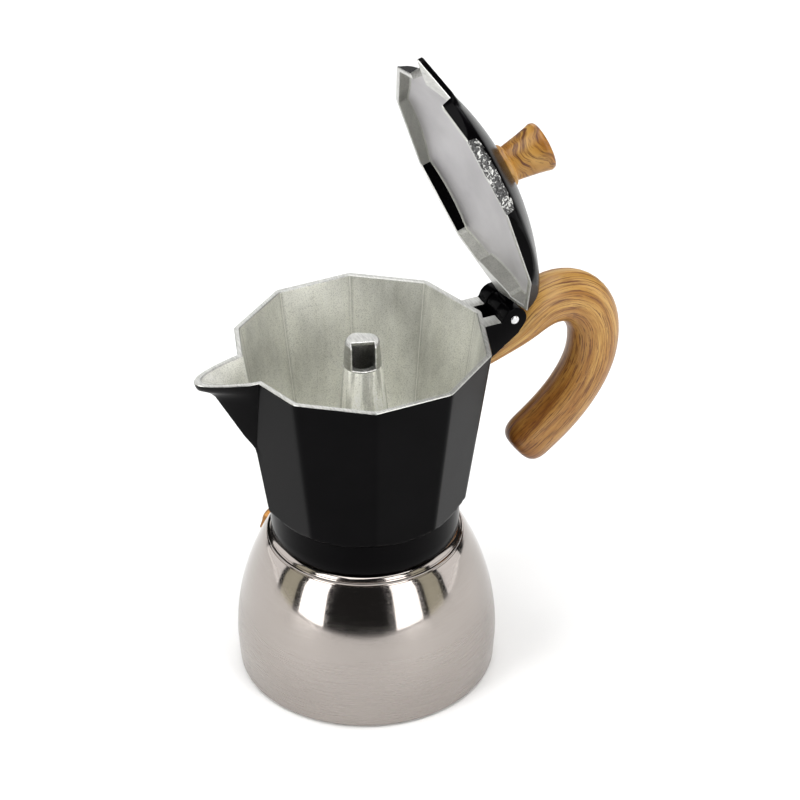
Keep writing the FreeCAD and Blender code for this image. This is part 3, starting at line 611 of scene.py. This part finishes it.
def piece_of(thing, body, slot, *replaced):
    """Say which body a piece rides and the CAD nodes that it stands for; slot is not used."""
    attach(thing, body)
    if replaced:
        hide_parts(*replaced)
    return thing


# ---------------------------------------------------------------------------------------------
# boiler
# ---------------------------------------------------------------------------------------------

def shoulder_centre():
    turn = math.radians(SHOULDER_FIRST)
    reach_in = BELLY_ARC - SHOULDER_ARC
    return (BELLY - BELLY_ARC + reach_in * math.cos(turn), BELLY_LEVEL + reach_in * math.sin(turn))


def belly_curve(inset):
    """The outer curve from the foot to the shoulder, drawn inset millimetres inside the skin."""
    x, z = shoulder_centre()
    side = arc(BELLY - BELLY_ARC, BELLY_LEVEL, BELLY_ARC - inset, 0, SHOULDER_FIRST, 20)
    return side + arc(x, z, SHOULDER_ARC - inset, SHOULDER_FIRST, SHOULDER_LAST, 8)[1:]


def make_boiler():
    """The drawn steel shell with two fine beads under the collar, and the turned plate below it."""
    outer = [(DISC_RADIUS, 0.25), (46.3, 0.0), (50.2, 0.0, 1.0), (51.7, 1.5, 1.2)]
    outer += belly_curve(0)
    top = outer[-1]
    x, z = shoulder_centre()
    beads_from = 36.5
    outer = [point for point in outer if point[1] < z + SHOULDER_ARC * math.sin(math.radians(beads_from))]
    beads = [(37.6, 0.0), (38.2, -0.30), (39.3, -0.32), (39.9, 0.15), (41.0, 0.36), (42.1, 0.15),
             (42.6, -0.35), (43.8, -0.35), (44.5, 0.0), (SHOULDER_LAST, 0.0)]
    for angle, out in beads:
        a = math.radians(angle)
        outer.append((x + (SHOULDER_ARC + out) * math.cos(a), z + (SHOULDER_ARC + out) * math.sin(a)))
    outer += [(top[0] - 0.5, top[1] + 0.6), (top[0] - 1.3, top[1] + 1.0), (top[0] - 1.8, top[1] + 0.7),
              (top[0] - 2.4, top[1] + 0.75), (NECK_RADIUS + 0.3, 64.0, 0.4), (NECK_RADIUS, 65.0)]
    bore = NECK_RADIUS - 2.0
    outer += [(NECK_RADIUS, NECK_TOP, 0.6), (bore, NECK_TOP, 0.5), (bore, 62.6)]
    bottom = DISC_TOP + SHEET
    inner = belly_curve(SHEET)[::-1] + [(50.4, 4.6, 2.0), (30.0, bottom), (0, bottom)]
    seat = [(0, DISC_TOP), (DISC_RADIUS, DISC_TOP), (DISC_RADIUS, 0.25)]
    shell = lathe("boiler_skin", outer + inner + seat, 192)
    smooth(dress(shell, STEEL), 40)
    piece_of(shell, "boiler", "stainless", "boiler_shell")

    grooves = [(0, 0.35), (3.0, 0.35), (3.4, 0.0)]
    for k in range(8):
        r = 8.0 + 4.6 * k
        grooves += [(r, 0.0), (r + 0.3, 0.22), (r + 0.9, 0.22), (r + 1.2, 0.0)]
    edge, disc_top = 45.9, 2.95
    grooves += [(45.6, 0.0), (edge, 0.3), (edge, disc_top), (0, disc_top)]
    disc = lathe("base_disc_turned", grooves, 128)
    smooth(dress(disc, TURNED))
    piece_of(disc, "boiler", "base_disc", "boiler_base_disc")


def make_thread():
    """The neck's screw thread: a three-sided cord wound round Z that fades in and out."""
    radius, low, turns, pitch, depth = 34.35, 66.2, 2.2, 4.0, 1.0
    half_ridge = 1.1
    fade_turn = 0.12
    steps = 72

    def place(u, row):
        turn = row / steps
        fade = max(min(1.0, turn / fade_turn, (turns - turn) / fade_turn), 0.02)
        corner = round(u * 3) % 3
        out, up = ((0.0, -half_ridge), (depth, 0.0), (0.0, half_ridge))[corner]
        r = radius + out * fade
        a = math.tau * turn
        return (r * math.cos(a), r * math.sin(a), low + pitch * turn + up * fade)

    ridge = wrapped("neck_thread", 3, int(turns * steps) + 1, place)
    smooth(dress(ridge, STEEL), 50)
    piece_of(ridge, "boiler", "stainless")


# ---------------------------------------------------------------------------------------------
# collector
# ---------------------------------------------------------------------------------------------

def ten_sided(angle, corner, soft=260.0):
    """The distance to the side of a softened decagon with a corner on +X."""
    a = math.degrees(angle) % 36.0
    shares = [math.cos(math.radians(a - 18.0 + turn)) for turn in (-36.0, 0.0, 36.0)]
    top = max(shares)
    total = sum(math.exp(soft * (share - top)) for share in shares)
    return corner * FLAT_SHARE / (top + math.log(total) / soft)


def corner_at(z):
    """How far the collector's outer corners are from the axis at a height."""
    return RIM_CORNER - (RIM - z) * TAPER


def keel(z):
    """How far out the spout's underside reaches at a height."""
    path = [(SPOUT_FOOT, corner_at(SPOUT_FOOT)), (142.4, 61.8), (144.4, 64.2), (146.4, 68.2),
            (148.4, -SPOUT_TIP - 0.5), (RIM, -SPOUT_TIP - 0.1)]
    for (z0, x0), (z1, x1) in zip(path, path[1:]):
        if z <= z1:
            return x0 + (x1 - x0) * max(0.0, (z - z0) / (z1 - z0))
    return path[-1][1]


def wall_point(u, z, inset):
    """A point on the pot's ten-sided wall, set in by a thickness, with the spout pushed out at -X."""
    angle = math.tau * u
    off = abs(math.pi - angle)
    side = 1.0 if angle <= math.pi else -1.0
    corner = corner_at(z) - inset / FLAT_SHARE
    lift = max(0.0, (z - SPOUT_FOOT - inset * 1.3) / (RIM - SPOUT_FOOT - inset * 1.3))
    half = max(1.4, (SPOUT_HALF - inset * 0.85) * lift)
    cut = math.atan2(half, corner)
    if off < SPOUT_SHARE:
        share = off / SPOUT_SHARE
        y = half * share
        flat = corner - y * SIDE_LEAN
        root = corner - half * SIDE_LEAN
        power = 1.0 + 0.25 * lift + 0.75 * lift ** 8
        out = max(0.0, keel(z - inset * 1.5) - inset * 0.9 - root) if lift > 0 else 0.0
        blend = min(1.0, lift * 6)
        pushed = root + out * (1 - share ** power)
        x = flat * (1 - blend) + max(flat, pushed) * blend
        return (-x, side * y, z)
    if off < SIDE_TURN:
        off = cut + (off - SPOUT_SHARE) * (SIDE_TURN - cut) / (SIDE_TURN - SPOUT_SHARE)
    r = ten_sided(off, corner)
    return (-r * math.cos(off), side * r * math.sin(off), z)


def collar_reach(z):
    """The collar's radius at a height, and above it how far out the cup's foot may come."""
    if z <= COLLAR_TOP:
        return COLLAR_RADIUS + COLLAR_SPREAD * (z - COLLAR_FOOT) / (COLLAR_TOP - COLLAR_FOOT)
    return COLLAR_RADIUS + COLLAR_SPREAD + (z - COLLAR_TOP) * 1.05


def make_collector():
    """The cup as one sheet of rows: round ones (radius, z) and ten-sided ones (depth in the wall, z)."""
    ring = "ring"
    wall = "wall"
    post_hole = 9.0
    rows = [(ring, r, FLOOR) for r in (post_hole, 14.0, 20.0, 28.0)]
    corner = 6.0
    wall_at = len(rows)
    for k in range(7):
        a = math.radians(90.0 * k / 6)
        rows.append((wall, WALL + corner * (1 - math.sin(a)), FLOOR + corner * (1 - math.cos(a))))
    levels = [96, 104, 110, 113, 116, 120, 125, 130, 135, 139, 141.5, 143.5, 145, 146.5, 148, 149.2]
    rows += [(wall, WALL, z) for z in levels + [RIM - 0.35]]
    rim_at = len(rows)
    rows += [(wall, WALL - 0.3, RIM), (wall, 0.28, RIM)]
    skin_at = len(rows)
    rows += [(wall, 0.0, RIM - 0.3)]
    rows += [(wall, 0.0, z) for z in levels[::-1]]
    rows += [(wall, 0.0, z) for z in (91, 88, 86, 85, 84, 83.2, 82.4, 81.6, 80.8, 80.0, 79.4, 79.0)]
    rows += [(ring, collar_reach(z), z) for z in (COLLAR_TOP, 78.0, 70.0, COLLAR_FOOT + 0.8)]
    rows += [(ring, COLLAR_RADIUS - 0.25, COLLAR_FOOT + 0.2), (ring, COLLAR_RADIUS - 0.7, COLLAR_FOOT)]
    bore_at = len(rows)
    rows += [(ring, 36.2, COLLAR_FOOT), (ring, 35.9, COLLAR_FOOT + 0.4), (ring, 35.9, 77.4),
             (ring, 34.1, 77.4), (ring, 34.1, 81.7), (ring, 29.8, 81.7), (ring, 29.8, 82.5),
             (ring, post_hole, 82.5), (ring, post_hole, FLOOR)]

    def place(u, row):
        kind, number, z = rows[row]
        if kind == ring:
            angle = math.tau * u
            return (number * math.cos(angle), number * math.sin(angle), z)
        x, y, z = wall_point(u, z, number)
        if z < 92 and number == 0.0:
            limit = collar_reach(z)
            r = math.hypot(x, y)
            if r > limit:
                x, y = x * limit / r, y * limit / r
        return (x, y, z)

    cup = wrapped("collector_casting", 300, len(rows), place)
    dress(cup, ENAMEL, CAST, MACHINED, CUP_INSIDE)
    smooth(cup, 25)
    paint, bare, cut, inside = range(4)
    slots = [bare] * wall_at + [inside] * (rim_at - wall_at - 1) + [cut] * (skin_at - rim_at + 1)
    slots += [paint] * (bore_at - skin_at) + [bare] * (len(rows) - bore_at)
    paint_rows(cup, len(rows), slots)
    piece_of(cup, "collector", "black_enamel", "collector")


def milled(cap, name, start_at, low, high):
    """Cut a slot into the cap on the window's side, from start_at outwards and between two heights."""
    start()
    bpy.ops.mesh.primitive_cube_add(size=1)
    cutter = named(name)
    past = 12.0
    for point in cutter.data.vertices:
        x, y, z = point.co
        spot = (start_at + (x + 0.5) * past, y * WINDOW_WIDE, low + (z + 0.5) * (high - low))
        point.co = Vector(spot) * MM
    placed(cutter, WINDOW_TURN)
    applied(cap, "BOOLEAN", operation="DIFFERENCE", object=cutter, solver="EXACT")
    bpy.data.objects.remove(cutter)


def make_post():
    """The hollow post, tapered, with draw marks down it."""
    bore, socket = 4.2, 6.05
    post = lathe("coffee_column_cast", [
        (9.0, FLOOR + 0.02), (15.4, FLOOR + 0.02), (15.0, FLOOR + 0.5, 0.5), (12.5, FLOOR + 2.4, 2.0),
        (11.9, FLOOR + 7.0), (7.7, POST_TOP - 0.3), (7.5, POST_TOP), (socket, POST_TOP),
        (socket, POST_TOP - CAP_DEEP), (bore, POST_TOP - CAP_DEEP - 0.1), (bore, FLOOR + 8),
        (9.0, FLOOR + 0.02)], 160)
    for point in post.data.vertices:
        x, y, z = point.co / MM
        r = math.hypot(x, y)
        if r > 6.4 and z > FLOOR + 3:
            a = math.atan2(y, x)
            ripple = 0.10 * math.sin(11 * a + 0.6) + 0.07 * math.sin(19 * a + 1.9) + 0.05 * math.sin(31 * a)
            point.co = Vector((x * (1 + ripple / r), y * (1 + ripple / r), z)) * MM
    smooth(dress(post, POST), 50)
    piece_of(post, "collector", "cast_aluminium", "coffee_column")


def make_cap():
    """The post's cap, its top a little uneven, with a window in one side that is open at the top."""
    spigot, bore = 6.0, 4.8
    ceiling_at = CAP_TOP - CAP_ROOF
    cap = lathe("column_cap_milled", [
        (0, CAP_TOP - 0.1), (3.0, CAP_TOP), (6.2, CAP_TOP, 0.4), (6.75, CAP_TOP - 0.5),
        (7.5, POST_TOP + 0.05), (7.45, POST_TOP), (spigot, POST_TOP), (spigot, POST_TOP - CAP_DEEP),
        (bore, POST_TOP - CAP_DEEP), (bore, ceiling_at), (0, ceiling_at)], 120)
    for point in cap.data.vertices:
        x, y, z = point.co / MM
        a = math.atan2(y, x)
        if z > CAP_TOP - 0.7:
            swell = 1 + 0.035 * math.sin(3 * a + 2.0) + 0.025 * math.sin(5 * a)
            lift = 0.12 * math.sin(4 * a) * min(1, math.hypot(x, y) / 6)
            point.co = Vector((x * swell, y * swell, z + lift)) * MM
    milled(cap, "window_cutter", 0.0, POST_TOP + WINDOW_SILL, ceiling_at)
    milled(cap, "mouth_cutter", MOUTH_DEEP, CAP_TOP - 2.0, CAP_TOP + 2.0)
    softened(cap, 0.25, 40, 2)
    smooth(dress(cap, MACHINED), 35)
    piece_of(cap, "collector", "cast_aluminium", "column_cap")

    low = POST_TOP + 0.55
    skin = 7.45
    crown = 6.85
    half = 4.75
    flat = math.sqrt(skin * skin - half * half)
    up = math.sqrt(crown * crown - half * half)
    middle = ((flat + up) / 2, (low + CAP_TOP) / 2)
    lip = CAP_TOP - 0.1
    path = [(skin, 0, low), (skin - 0.7, 3.0, low), (flat, half, low), (middle[0], half, middle[1]),
            (up, half, lip), (MOUTH_DEEP, half, CAP_TOP), (MOUTH_DEEP, 1.5, CAP_TOP),
            (MOUTH_DEEP, -1.5, CAP_TOP), (MOUTH_DEEP, -half, CAP_TOP), (up, -half, lip),
            (middle[0], -half, middle[1]), (flat, -half, low), (skin - 0.7, -3.0, low)]
    edge = burr("window_burr_near", path)
    smooth(dress(edge, BURR), 60)
    piece_of(edge, "collector", "cast_aluminium")


def burr(name, path):
    """The bright ragged edge that the mill leaves round the window: an uneven cord along a closed path."""
    steps = 12
    spots = []
    for k, spot in enumerate(path):
        after = Vector(path[(k + 1) % len(path)])
        for step in range(steps):
            spots.append(Vector(spot).lerp(after, step / steps))
    spots.append(spots[0])
    turned = WINDOW_TURN.to_3x3()

    def place(u, row):
        before = spots[max(row - 1, 0)]
        ahead = (spots[min(row + 1, len(spots) - 1)] - before).normalized()
        side = ahead.cross(Vector((0.3, 0.2, 0.93))).normalized()
        over = ahead.cross(side)
        thick = 0.27 + 0.07 * math.sin(row * 0.7) + 0.06 * math.sin(row * 1.9 + 1)
        a = math.tau * u
        return turned @ (spots[row] + side * (thick * math.cos(a)) + over * (thick * math.sin(a)))

    return wrapped(name, 10, len(spots), place)


# ---------------------------------------------------------------------------------------------
# hinge
# ---------------------------------------------------------------------------------------------

def make_hinge():
    """Two ears and the web between them in one piece, and the riveted pin through them."""
    barrel = 5.2
    ear_inside, ear_outside = 4.3, 11.0
    ears = []
    for side in (-1, 1):
        low, high = sorted((side * ear_inside, side * ear_outside))
        outline = [(48.0, RIM - 0.02), (54.6, RIM - 0.02)]
        outline += arc(HINGE_X, HINGE_Z, barrel, 165, -42, 22)
        outline += [(HINGE_X + 1.6, HINGE_Z - 6.6), (50.2, 134.7), (45.8, 134.7)]
        ear = slab("hinge_ear_%s" % ("near" if side < 0 else "far"), outline, low, high, 0.45)
        for point in ear.data.vertices:
            x, y, z = point.co / MM
            if x < 49:
                point.co.x = (corner_at(z) - 1.0 - abs(y) * SIDE_LEAN) * MM
        ears.append(ear)
    web = slab("hinge_web", [(48.4, 145.6), (52.6, 145.6), (54.2, 144.0), (58.5, 140.0), (61.4, 137.3),
                             (61.4, 132.4), (46.9, 132.4)], -4.4, 4.4, 0.4)
    fork = joined("hinge_fork", *ears, web)
    dress(fork, ENAMEL, MACHINED)
    paint(fork, 1, lambda c, n: n.z > 0.9 and c.x < 55 and c.z > RIM - 1)
    smooth(fork, 35)
    piece_of(fork, "collector", "black_enamel")

    head = PIN_RADIUS + 0.35
    tip = PIN_HALF
    pin = lathe("hinge_pin_riveted", [
        (0, -tip), (head - 0.5, -tip, 0.3), (head, -tip + 0.35, 0.3), (PIN_RADIUS, -ear_outside),
        (PIN_RADIUS, ear_outside), (head, tip - 0.35, 0.3), (head - 0.5, tip, 0.3), (0, tip)], 40)
    placed(pin, Matrix.Translation((HINGE_X, 0, HINGE_Z)) @ Matrix.Rotation(math.pi / 2, 4, "X"))
    smooth(dress(pin, PLATED), 40)
    piece_of(pin, "collector", "steel", "hinge_pin")


# ---------------------------------------------------------------------------------------------
# handle
# ---------------------------------------------------------------------------------------------

# the grip's middle line (x, z) with its half height and half width
GRIP = [
    (46.8, 129.9, 5.4, 7.2), (50.0, 131.2, 5.5, 7.3), (54.0, 132.7, 5.6, 7.4), (58.0, 134.4, 5.9, 7.6),
    (62.0, 136.5, 6.7, 7.9), (66.0, 139.0, 7.8, 8.3), (69.6, 142.0, 9.0, 8.7), (73.0, 145.2, 10.2, 9.0),
    (77.0, 147.7, 11.1, 9.0), (81.0, 148.9, 11.4, 9.0), (86.0, 148.9, 11.3, 9.0), (90.5, 147.4, 11.2, 9.0),
    (94.5, 144.5, 11.1, 9.0), (97.6, 140.4, 11.0, 9.0), (99.8, 135.4, 10.9, 9.0), (100.6, 130.0, 10.8, 9.0),
    (100.6, 124.4, 10.8, 9.0), (99.8, 119.0, 10.8, 9.0), (98.2, 114.0, 10.8, 9.0), (96.0, 109.4, 10.8, 9.0),
    (93.2, 104.9, 10.8, 9.0), (90.0, 100.6, 10.8, 9.0), (86.3, 96.5, 10.8, 9.0), (82.2, 92.6, 10.8, 9.0),
    (78.3, 89.4, 10.7, 9.0), (74.4, 86.4, 10.7, 8.9)]
# how the end closes: how far past the last station, and the share of its size left there
GRIP_END = [(2.2, 1.0), (4.4, 0.975), (6.2, 0.92), (7.6, 0.84), (8.7, 0.72), (9.4, 0.56), (9.75, 0.34),
            (9.8, 0.0)]


def make_handle():
    """The hook grip, swept along its middle line, its root cut to the collector's corner."""
    stations = []
    for i, (x, z, tall, wide) in enumerate(GRIP):
        before = GRIP[max(i - 1, 0)]
        after = GRIP[min(i + 1, len(GRIP) - 1)]
        along = Vector((after[0] - before[0], 0, after[1] - before[1])).normalized()
        stations.append((Vector((x, 0, z)), along, tall, wide))
    last, along, tall, wide = stations[-1]
    for past, share in GRIP_END:
        stations.append((last + along * past, along, tall * share, wide * share))
    stations.insert(0, (stations[0][0] - Vector((0.1, 0, 0.04)), stations[0][1], 0.0, 0.0))
    sunk = 1.2

    def place(u, row):
        centre, direction, tall, wide = stations[row]
        up = Vector((-direction.z, 0, direction.x))
        a = math.tau * u
        spot = centre + up * (tall * math.cos(a)) + Vector((0, wide * math.sin(a), 0))
        if row < 2:
            spot.x = corner_at(spot.z) - sunk - abs(spot.y) * SIDE_LEAN
        return spot

    grip = wrapped("handle_grip", 48, len(stations), place)
    unrolled(grip, running([station[0] for station in stations]), 100.0)
    applied(grip, "SUBSURF", levels=1, render_levels=1)
    smooth(dress(grip, GRIP_WOOD), 60)
    piece_of(grip, "collector", "wood_print", "handle")


# ---------------------------------------------------------------------------------------------
# lid
# ---------------------------------------------------------------------------------------------

def dome(r):
    """The lid's outer curve above its rim."""
    big, turn, small = 105.0, math.radians(27), 9.4
    if r <= big * math.sin(turn):
        return DOME_HIGH - big + math.sqrt(big * big - r * r)
    cx = (big - small) * math.sin(turn)
    cz = DOME_HIGH - big + (big - small) * math.cos(turn)
    return cz + math.sqrt(max(0.0, small * small - (r - cx) ** 2))


def ceiling(r):
    """The lid's inner curve above its rim."""
    big, high = 125.0, 14.5
    return high - big + math.sqrt(big ** 2 - r * r)


def beak_top(x):
    """The height of the beak's straight ridge, x millimetres out from the axis."""
    return 7.8 - (x - BEAK_FROM) * 5.1 / 19.0


def ease(t):
    """0 to 1 with flat ends."""
    t = min(1.0, max(0.0, t))
    return t * t * (3 - 2 * t)


def lid_edge(angle):
    """The plan outline of the lid: how far out it reaches, and how much of it is beak there."""
    off = abs(math.pi - angle % math.tau)
    straight = ten_sided(angle, LID_CORNER, 300)
    if off > math.radians(30):
        return straight, 0.0
    wedge = BEAK / (math.cos(off) + math.sin(off))
    tip = BEAK - 0.5 - 60 * off * off
    wedge = min(wedge, max(tip, BEAK - 2.0)) if off < 0.05 else wedge
    share = 1 - ease((math.degrees(off) - 13.0) / 5.0)
    return max(straight, wedge), share


def make_lid():
    """The dome, skirt, wall and ceiling as one sheet of rows, and the lug that the pin goes through."""
    ring_shares = [0, 0.06, 0.14, 0.22, 0.3, 0.38, 0.46, 0.54, 0.62, 0.69, 0.76, 0.82, 0.87, 0.91,
                   0.94, 0.965, 0.985, 0.995]
    rows = [("top", s) for s in ring_shares]
    rows += [("side", s) for s in (0.0, 0.12, 0.35, 0.65, 0.9, 1.0)]
    rows += [("foot", s) for s in (0.0, 1.0)]
    rows += [("wall", s) for s in (0.0, 0.5, 1.0)]
    rows += [("roof", s) for s in ring_shares[::-1]]
    landing, landing_turn = 44.5, math.radians(17)

    def place(u, row):
        kind, share = rows[row]
        angle = math.tau * u
        edge, beak = lid_edge(angle)
        inner = ten_sided(angle, LID_CORNER - LID_WALL, 300)
        behind = min(angle, math.tau - angle)
        if behind < landing_turn:
            inner = min(inner, landing / math.cos(behind))
        out = max(math.cos(angle) * -1, 0.0)
        crest = max(dome(min(edge, 52.6)), 0.9)
        tip_top = beak_top(edge * out)
        top = crest * (1 - beak) + tip_top * beak
        foot = tip_top - 2.3 if beak > 0.55 else 0.0
        if kind == "top":
            r = share * (edge - 0.25)
            z = dome(min(r, 52.4))
            if r > 40 and beak > 0:
                z = z * (1 - beak) + max(beak_top(r * out), 0) * beak if r * out > BEAK_FROM else z
        elif kind == "side":
            r = edge
            z = top - 0.25 - (top - 0.55 - foot) * share
        elif kind == "foot":
            r = (edge - 0.3) * (1 - share) + (inner + 0.25) * share
            z = foot if r > inner + 1 else min(foot, ceiling(inner) - 0.6)
        elif kind == "wall":
            r = inner
            base = min(foot, ceiling(inner) - 0.6)
            z = base + 0.25 + (ceiling(inner) - 0.25 - base - 0.25) * share
        else:
            r = share * (inner - 0.3)
            z = ceiling(r)
        return (r * math.cos(angle), r * math.sin(angle), LID_FOOT + z)

    lid = wrapped("lid_casting", 360, len(rows), place)
    dress(lid, ENAMEL, LID_INSIDE, SHADED_LID_CAST, MACHINED, PAINTED_GLINT_ENAMEL)

    outside = sum(1 for kind, share in rows if kind in ("top", "side"))
    coated, polished, cast, cut, painted_glint_slot = range(5)
    slots = [coated] * (outside - 1) + [cut] * 3 + [cast] * 3 + [polished] * (len(rows) - outside - 5)
    paint_rows(lid, len(rows), slots)
    # one inner skirt facet gets the black enamel: a painted dark reflection
    painted_dark_reflection_span = (math.radians(37.0), math.radians(71.0))
    paint(lid, coated, lambda c, n: n.z > -0.6 and math.hypot(c.x, c.y) > 47.0 and c.z < LID_FOOT + 8
          and painted_dark_reflection_span[0] < math.atan2(c.y, c.x) < painted_dark_reflection_span[1] and c.x * n.x + c.y * n.y < 0)
    # a few outer skirt facets near the foot get the glassy enamel with painted glint spots: a painted
    # highlight
    painted_glint_span = (math.radians(-143.0), math.radians(-109.0))
    paint(lid, painted_glint_slot, lambda c, n: c.z < LID_FOOT + 4.6 and painted_glint_span[0] < math.atan2(c.y, c.x) < painted_glint_span[1]
          and math.hypot(c.x, c.y) > 47.5 and c.x * n.x + c.y * n.y > 0.3 * math.hypot(c.x, c.y))
    smooth(lid, 28)
    placed(lid, OPENED)
    piece_of(lid, "lid", "black_enamel", "lid")

    root, barrel, half = 45.6, 5.0, 4.0
    outline = [(root, LID_FOOT + 0.7), (54.6, LID_FOOT + 0.7)]
    outline += arc(HINGE_X, HINGE_Z, barrel, 170, 460, 30)
    outline += [(54.0, HINGE_Z + 5.6), (49.4, LID_FOOT + 6.2), (root, LID_FOOT + 6.2)]
    arm = slab("lid_lug", outline, -half, half, 0.4)
    smooth(dress(placed(arm, OPENED), ENAMEL), 35)
    piece_of(arm, "lid", "black_enamel")


def make_knob():
    """The waisted knob on its flange."""
    foot = LID_FOOT + DOME_HIGH
    profile = [(0, 0.05), (8.0, 0.05), (8.7, 0.6, 0.7), (8.7, 2.3, 0.8), (8.1, 2.9, 0.4), (7.1, 3.0, 0.25),
               (7.25, 3.5), (7.9, 7.5), (8.7, 12.0), (9.5, 15.6), (9.95, 17.2, 1.0), (9.6, 18.8, 1.3),
               (7.5, 19.3), (4.0, 19.55), (0, 19.6)]
    outline = rounded(profile, 5)

    def place(u, row):
        angle = math.tau * u
        r, z = outline[row]
        return (r * math.cos(angle), r * math.sin(angle), foot + z)

    knob = wrapped("knob_turned", 96, len(outline), place)
    unrolled(knob, running(outline), 30.0, 2)
    smooth(dress(placed(knob, OPENED), KNOB_WOOD), 45)
    piece_of(knob, "lid", "wood_print", "knob")


# ---------------------------------------------------------------------------------------------
# carried-over parts, room, lights and camera
# ---------------------------------------------------------------------------------------------

def finish_cad_parts():
    """Give materials to the CAD nodes that are shown as they are."""
    finishes = {
        "valve_body": BRASS, "valve_washer": FIBRE, "valve_nut": BRASS, "valve_seat": BRASS,
        "valve_plunger": BRASS, "valve_spring": PLATED, "funnel_basket": PRESSED, "funnel_stem": PRESSED,
        "funnel_screen": PRESSED, "gasket": SILICONE, "filter_plate": PRESSED,
        "handle_washer": PLATED, "handle_screw": PLATED, "knob_insert": BRASS, "knob_washer": PLATED,
        "knob_screw": PLATED,
    }
    for node, finish in finishes.items():
        thing = frame["nodes"][node]
        for slot in thing.material_slots:
            slot.material = finish


def make_room():
    """A white ground that runs far out, in a dim room."""
    start()
    bpy.ops.mesh.primitive_plane_add(size=6.0, location=(0, 0, 0))
    floor = named("floor")
    pale = Finish("pale_floor", Roughness=0.9)
    grain = pale.even(3.0, 2)
    pale.wear(Base_Color=pale.ramp(grain, (0.3, (0.93, 0.93, 0.93, 1)), (0.7, (0.95, 0.95, 0.95, 1))))
    dress(floor, pale.material)
    world = bpy.data.worlds.new("studio")
    bpy.context.scene.world = world
    world.use_nodes = True
    world.node_tree.nodes["Background"].inputs["Color"].default_value = (1.0, 1.0, 1.0, 1)
    world.node_tree.nodes["Background"].inputs["Strength"].default_value = 0.03
    bpy.context.scene.view_settings.view_transform = "Standard"


def lamp(name, bearing, far, low, high, wide, power, tint=(1, 1, 1)):
    """A soft panel that faces the pot: bearing in degrees round the pot, lengths in metres."""
    data = bpy.data.lights.new(name, "AREA")
    data.shape = "RECTANGLE"
    data.size = wide
    data.size_y = high - low
    data.energy = power
    data.color = tint
    thing = bpy.data.objects.new(name, data)
    bpy.context.scene.collection.objects.link(thing)
    a = math.radians(bearing)
    thing.location = (far * math.cos(a), far * math.sin(a), (low + high) / 2)
    thing.rotation_euler = (math.radians(90), 0, a + math.radians(90))
    thing.visible_camera = False
    return thing


def make_lights():
    """Two tall bright panels with dim curtains beside them, one panel behind, and one overhead."""
    cream = (1.0, 0.97, 0.78)
    lamp("left_panel", -164, 0.95, 0.02, 1.5, 0.42, 9)
    lamp("right_panel", -75, 0.95, 0.02, 1.5, 0.42, 8)
    lamp("back_panel", 60, 1.3, 0.3, 1.6, 1.2, 7)
    lamp("left_curtain", -192, 1.0, 0.0, 1.2, 0.30, 0.9, cream)
    lamp("left_wall", -222, 1.05, 0.0, 1.2, 0.62, 3.6)
    lamp("right_curtain", -47, 1.0, 0.0, 1.2, 0.30, 0.9, cream)
    lamp("right_wall", -16, 1.05, 0.0, 1.2, 0.62, 3.6)
    top = lamp("overhead", 90, 0.05, 1.0, 2.2, 1.2, 17)
    top.location.z = 1.35
    top.rotation_euler = (0, 0, 0)


def make_camera():
    """A long lens from the front left, looking down, its roll and aim fitted to the pot."""
    turn, rise, roll = math.radians(-24.05), math.radians(33.77), math.radians(-0.49)
    distance = 1.3
    back = Vector((math.sin(turn) * math.cos(rise), -math.cos(turn) * math.cos(rise), math.sin(rise)))
    right = (-back).cross(Vector((0, 0, 1))).normalized()
    up = right.cross(-back)
    across = right * math.cos(roll) + up * math.sin(roll)
    above = up * math.cos(roll) - right * math.sin(roll)
    data = bpy.data.cameras.new("camera")
    data.lens = 149.75
    data.clip_end = 20
    camera = bpy.data.objects.new("camera", data)
    bpy.context.scene.collection.objects.link(camera)
    axes = Matrix((across, above, back)).transposed().to_4x4()
    aim_side, aim_high = 0.01441, 0.12258
    aim = right * aim_side + Vector((0, 0, aim_high))
    camera.matrix_world = Matrix.Translation(aim + back * distance) @ axes
    bpy.context.scene.camera = camera


make_room()
make_lights()
make_camera()
make_boiler()
make_thread()
make_collector()
make_post()
make_cap()
make_hinge()
make_handle()
make_lid()
make_knob()
finish_cad_parts()
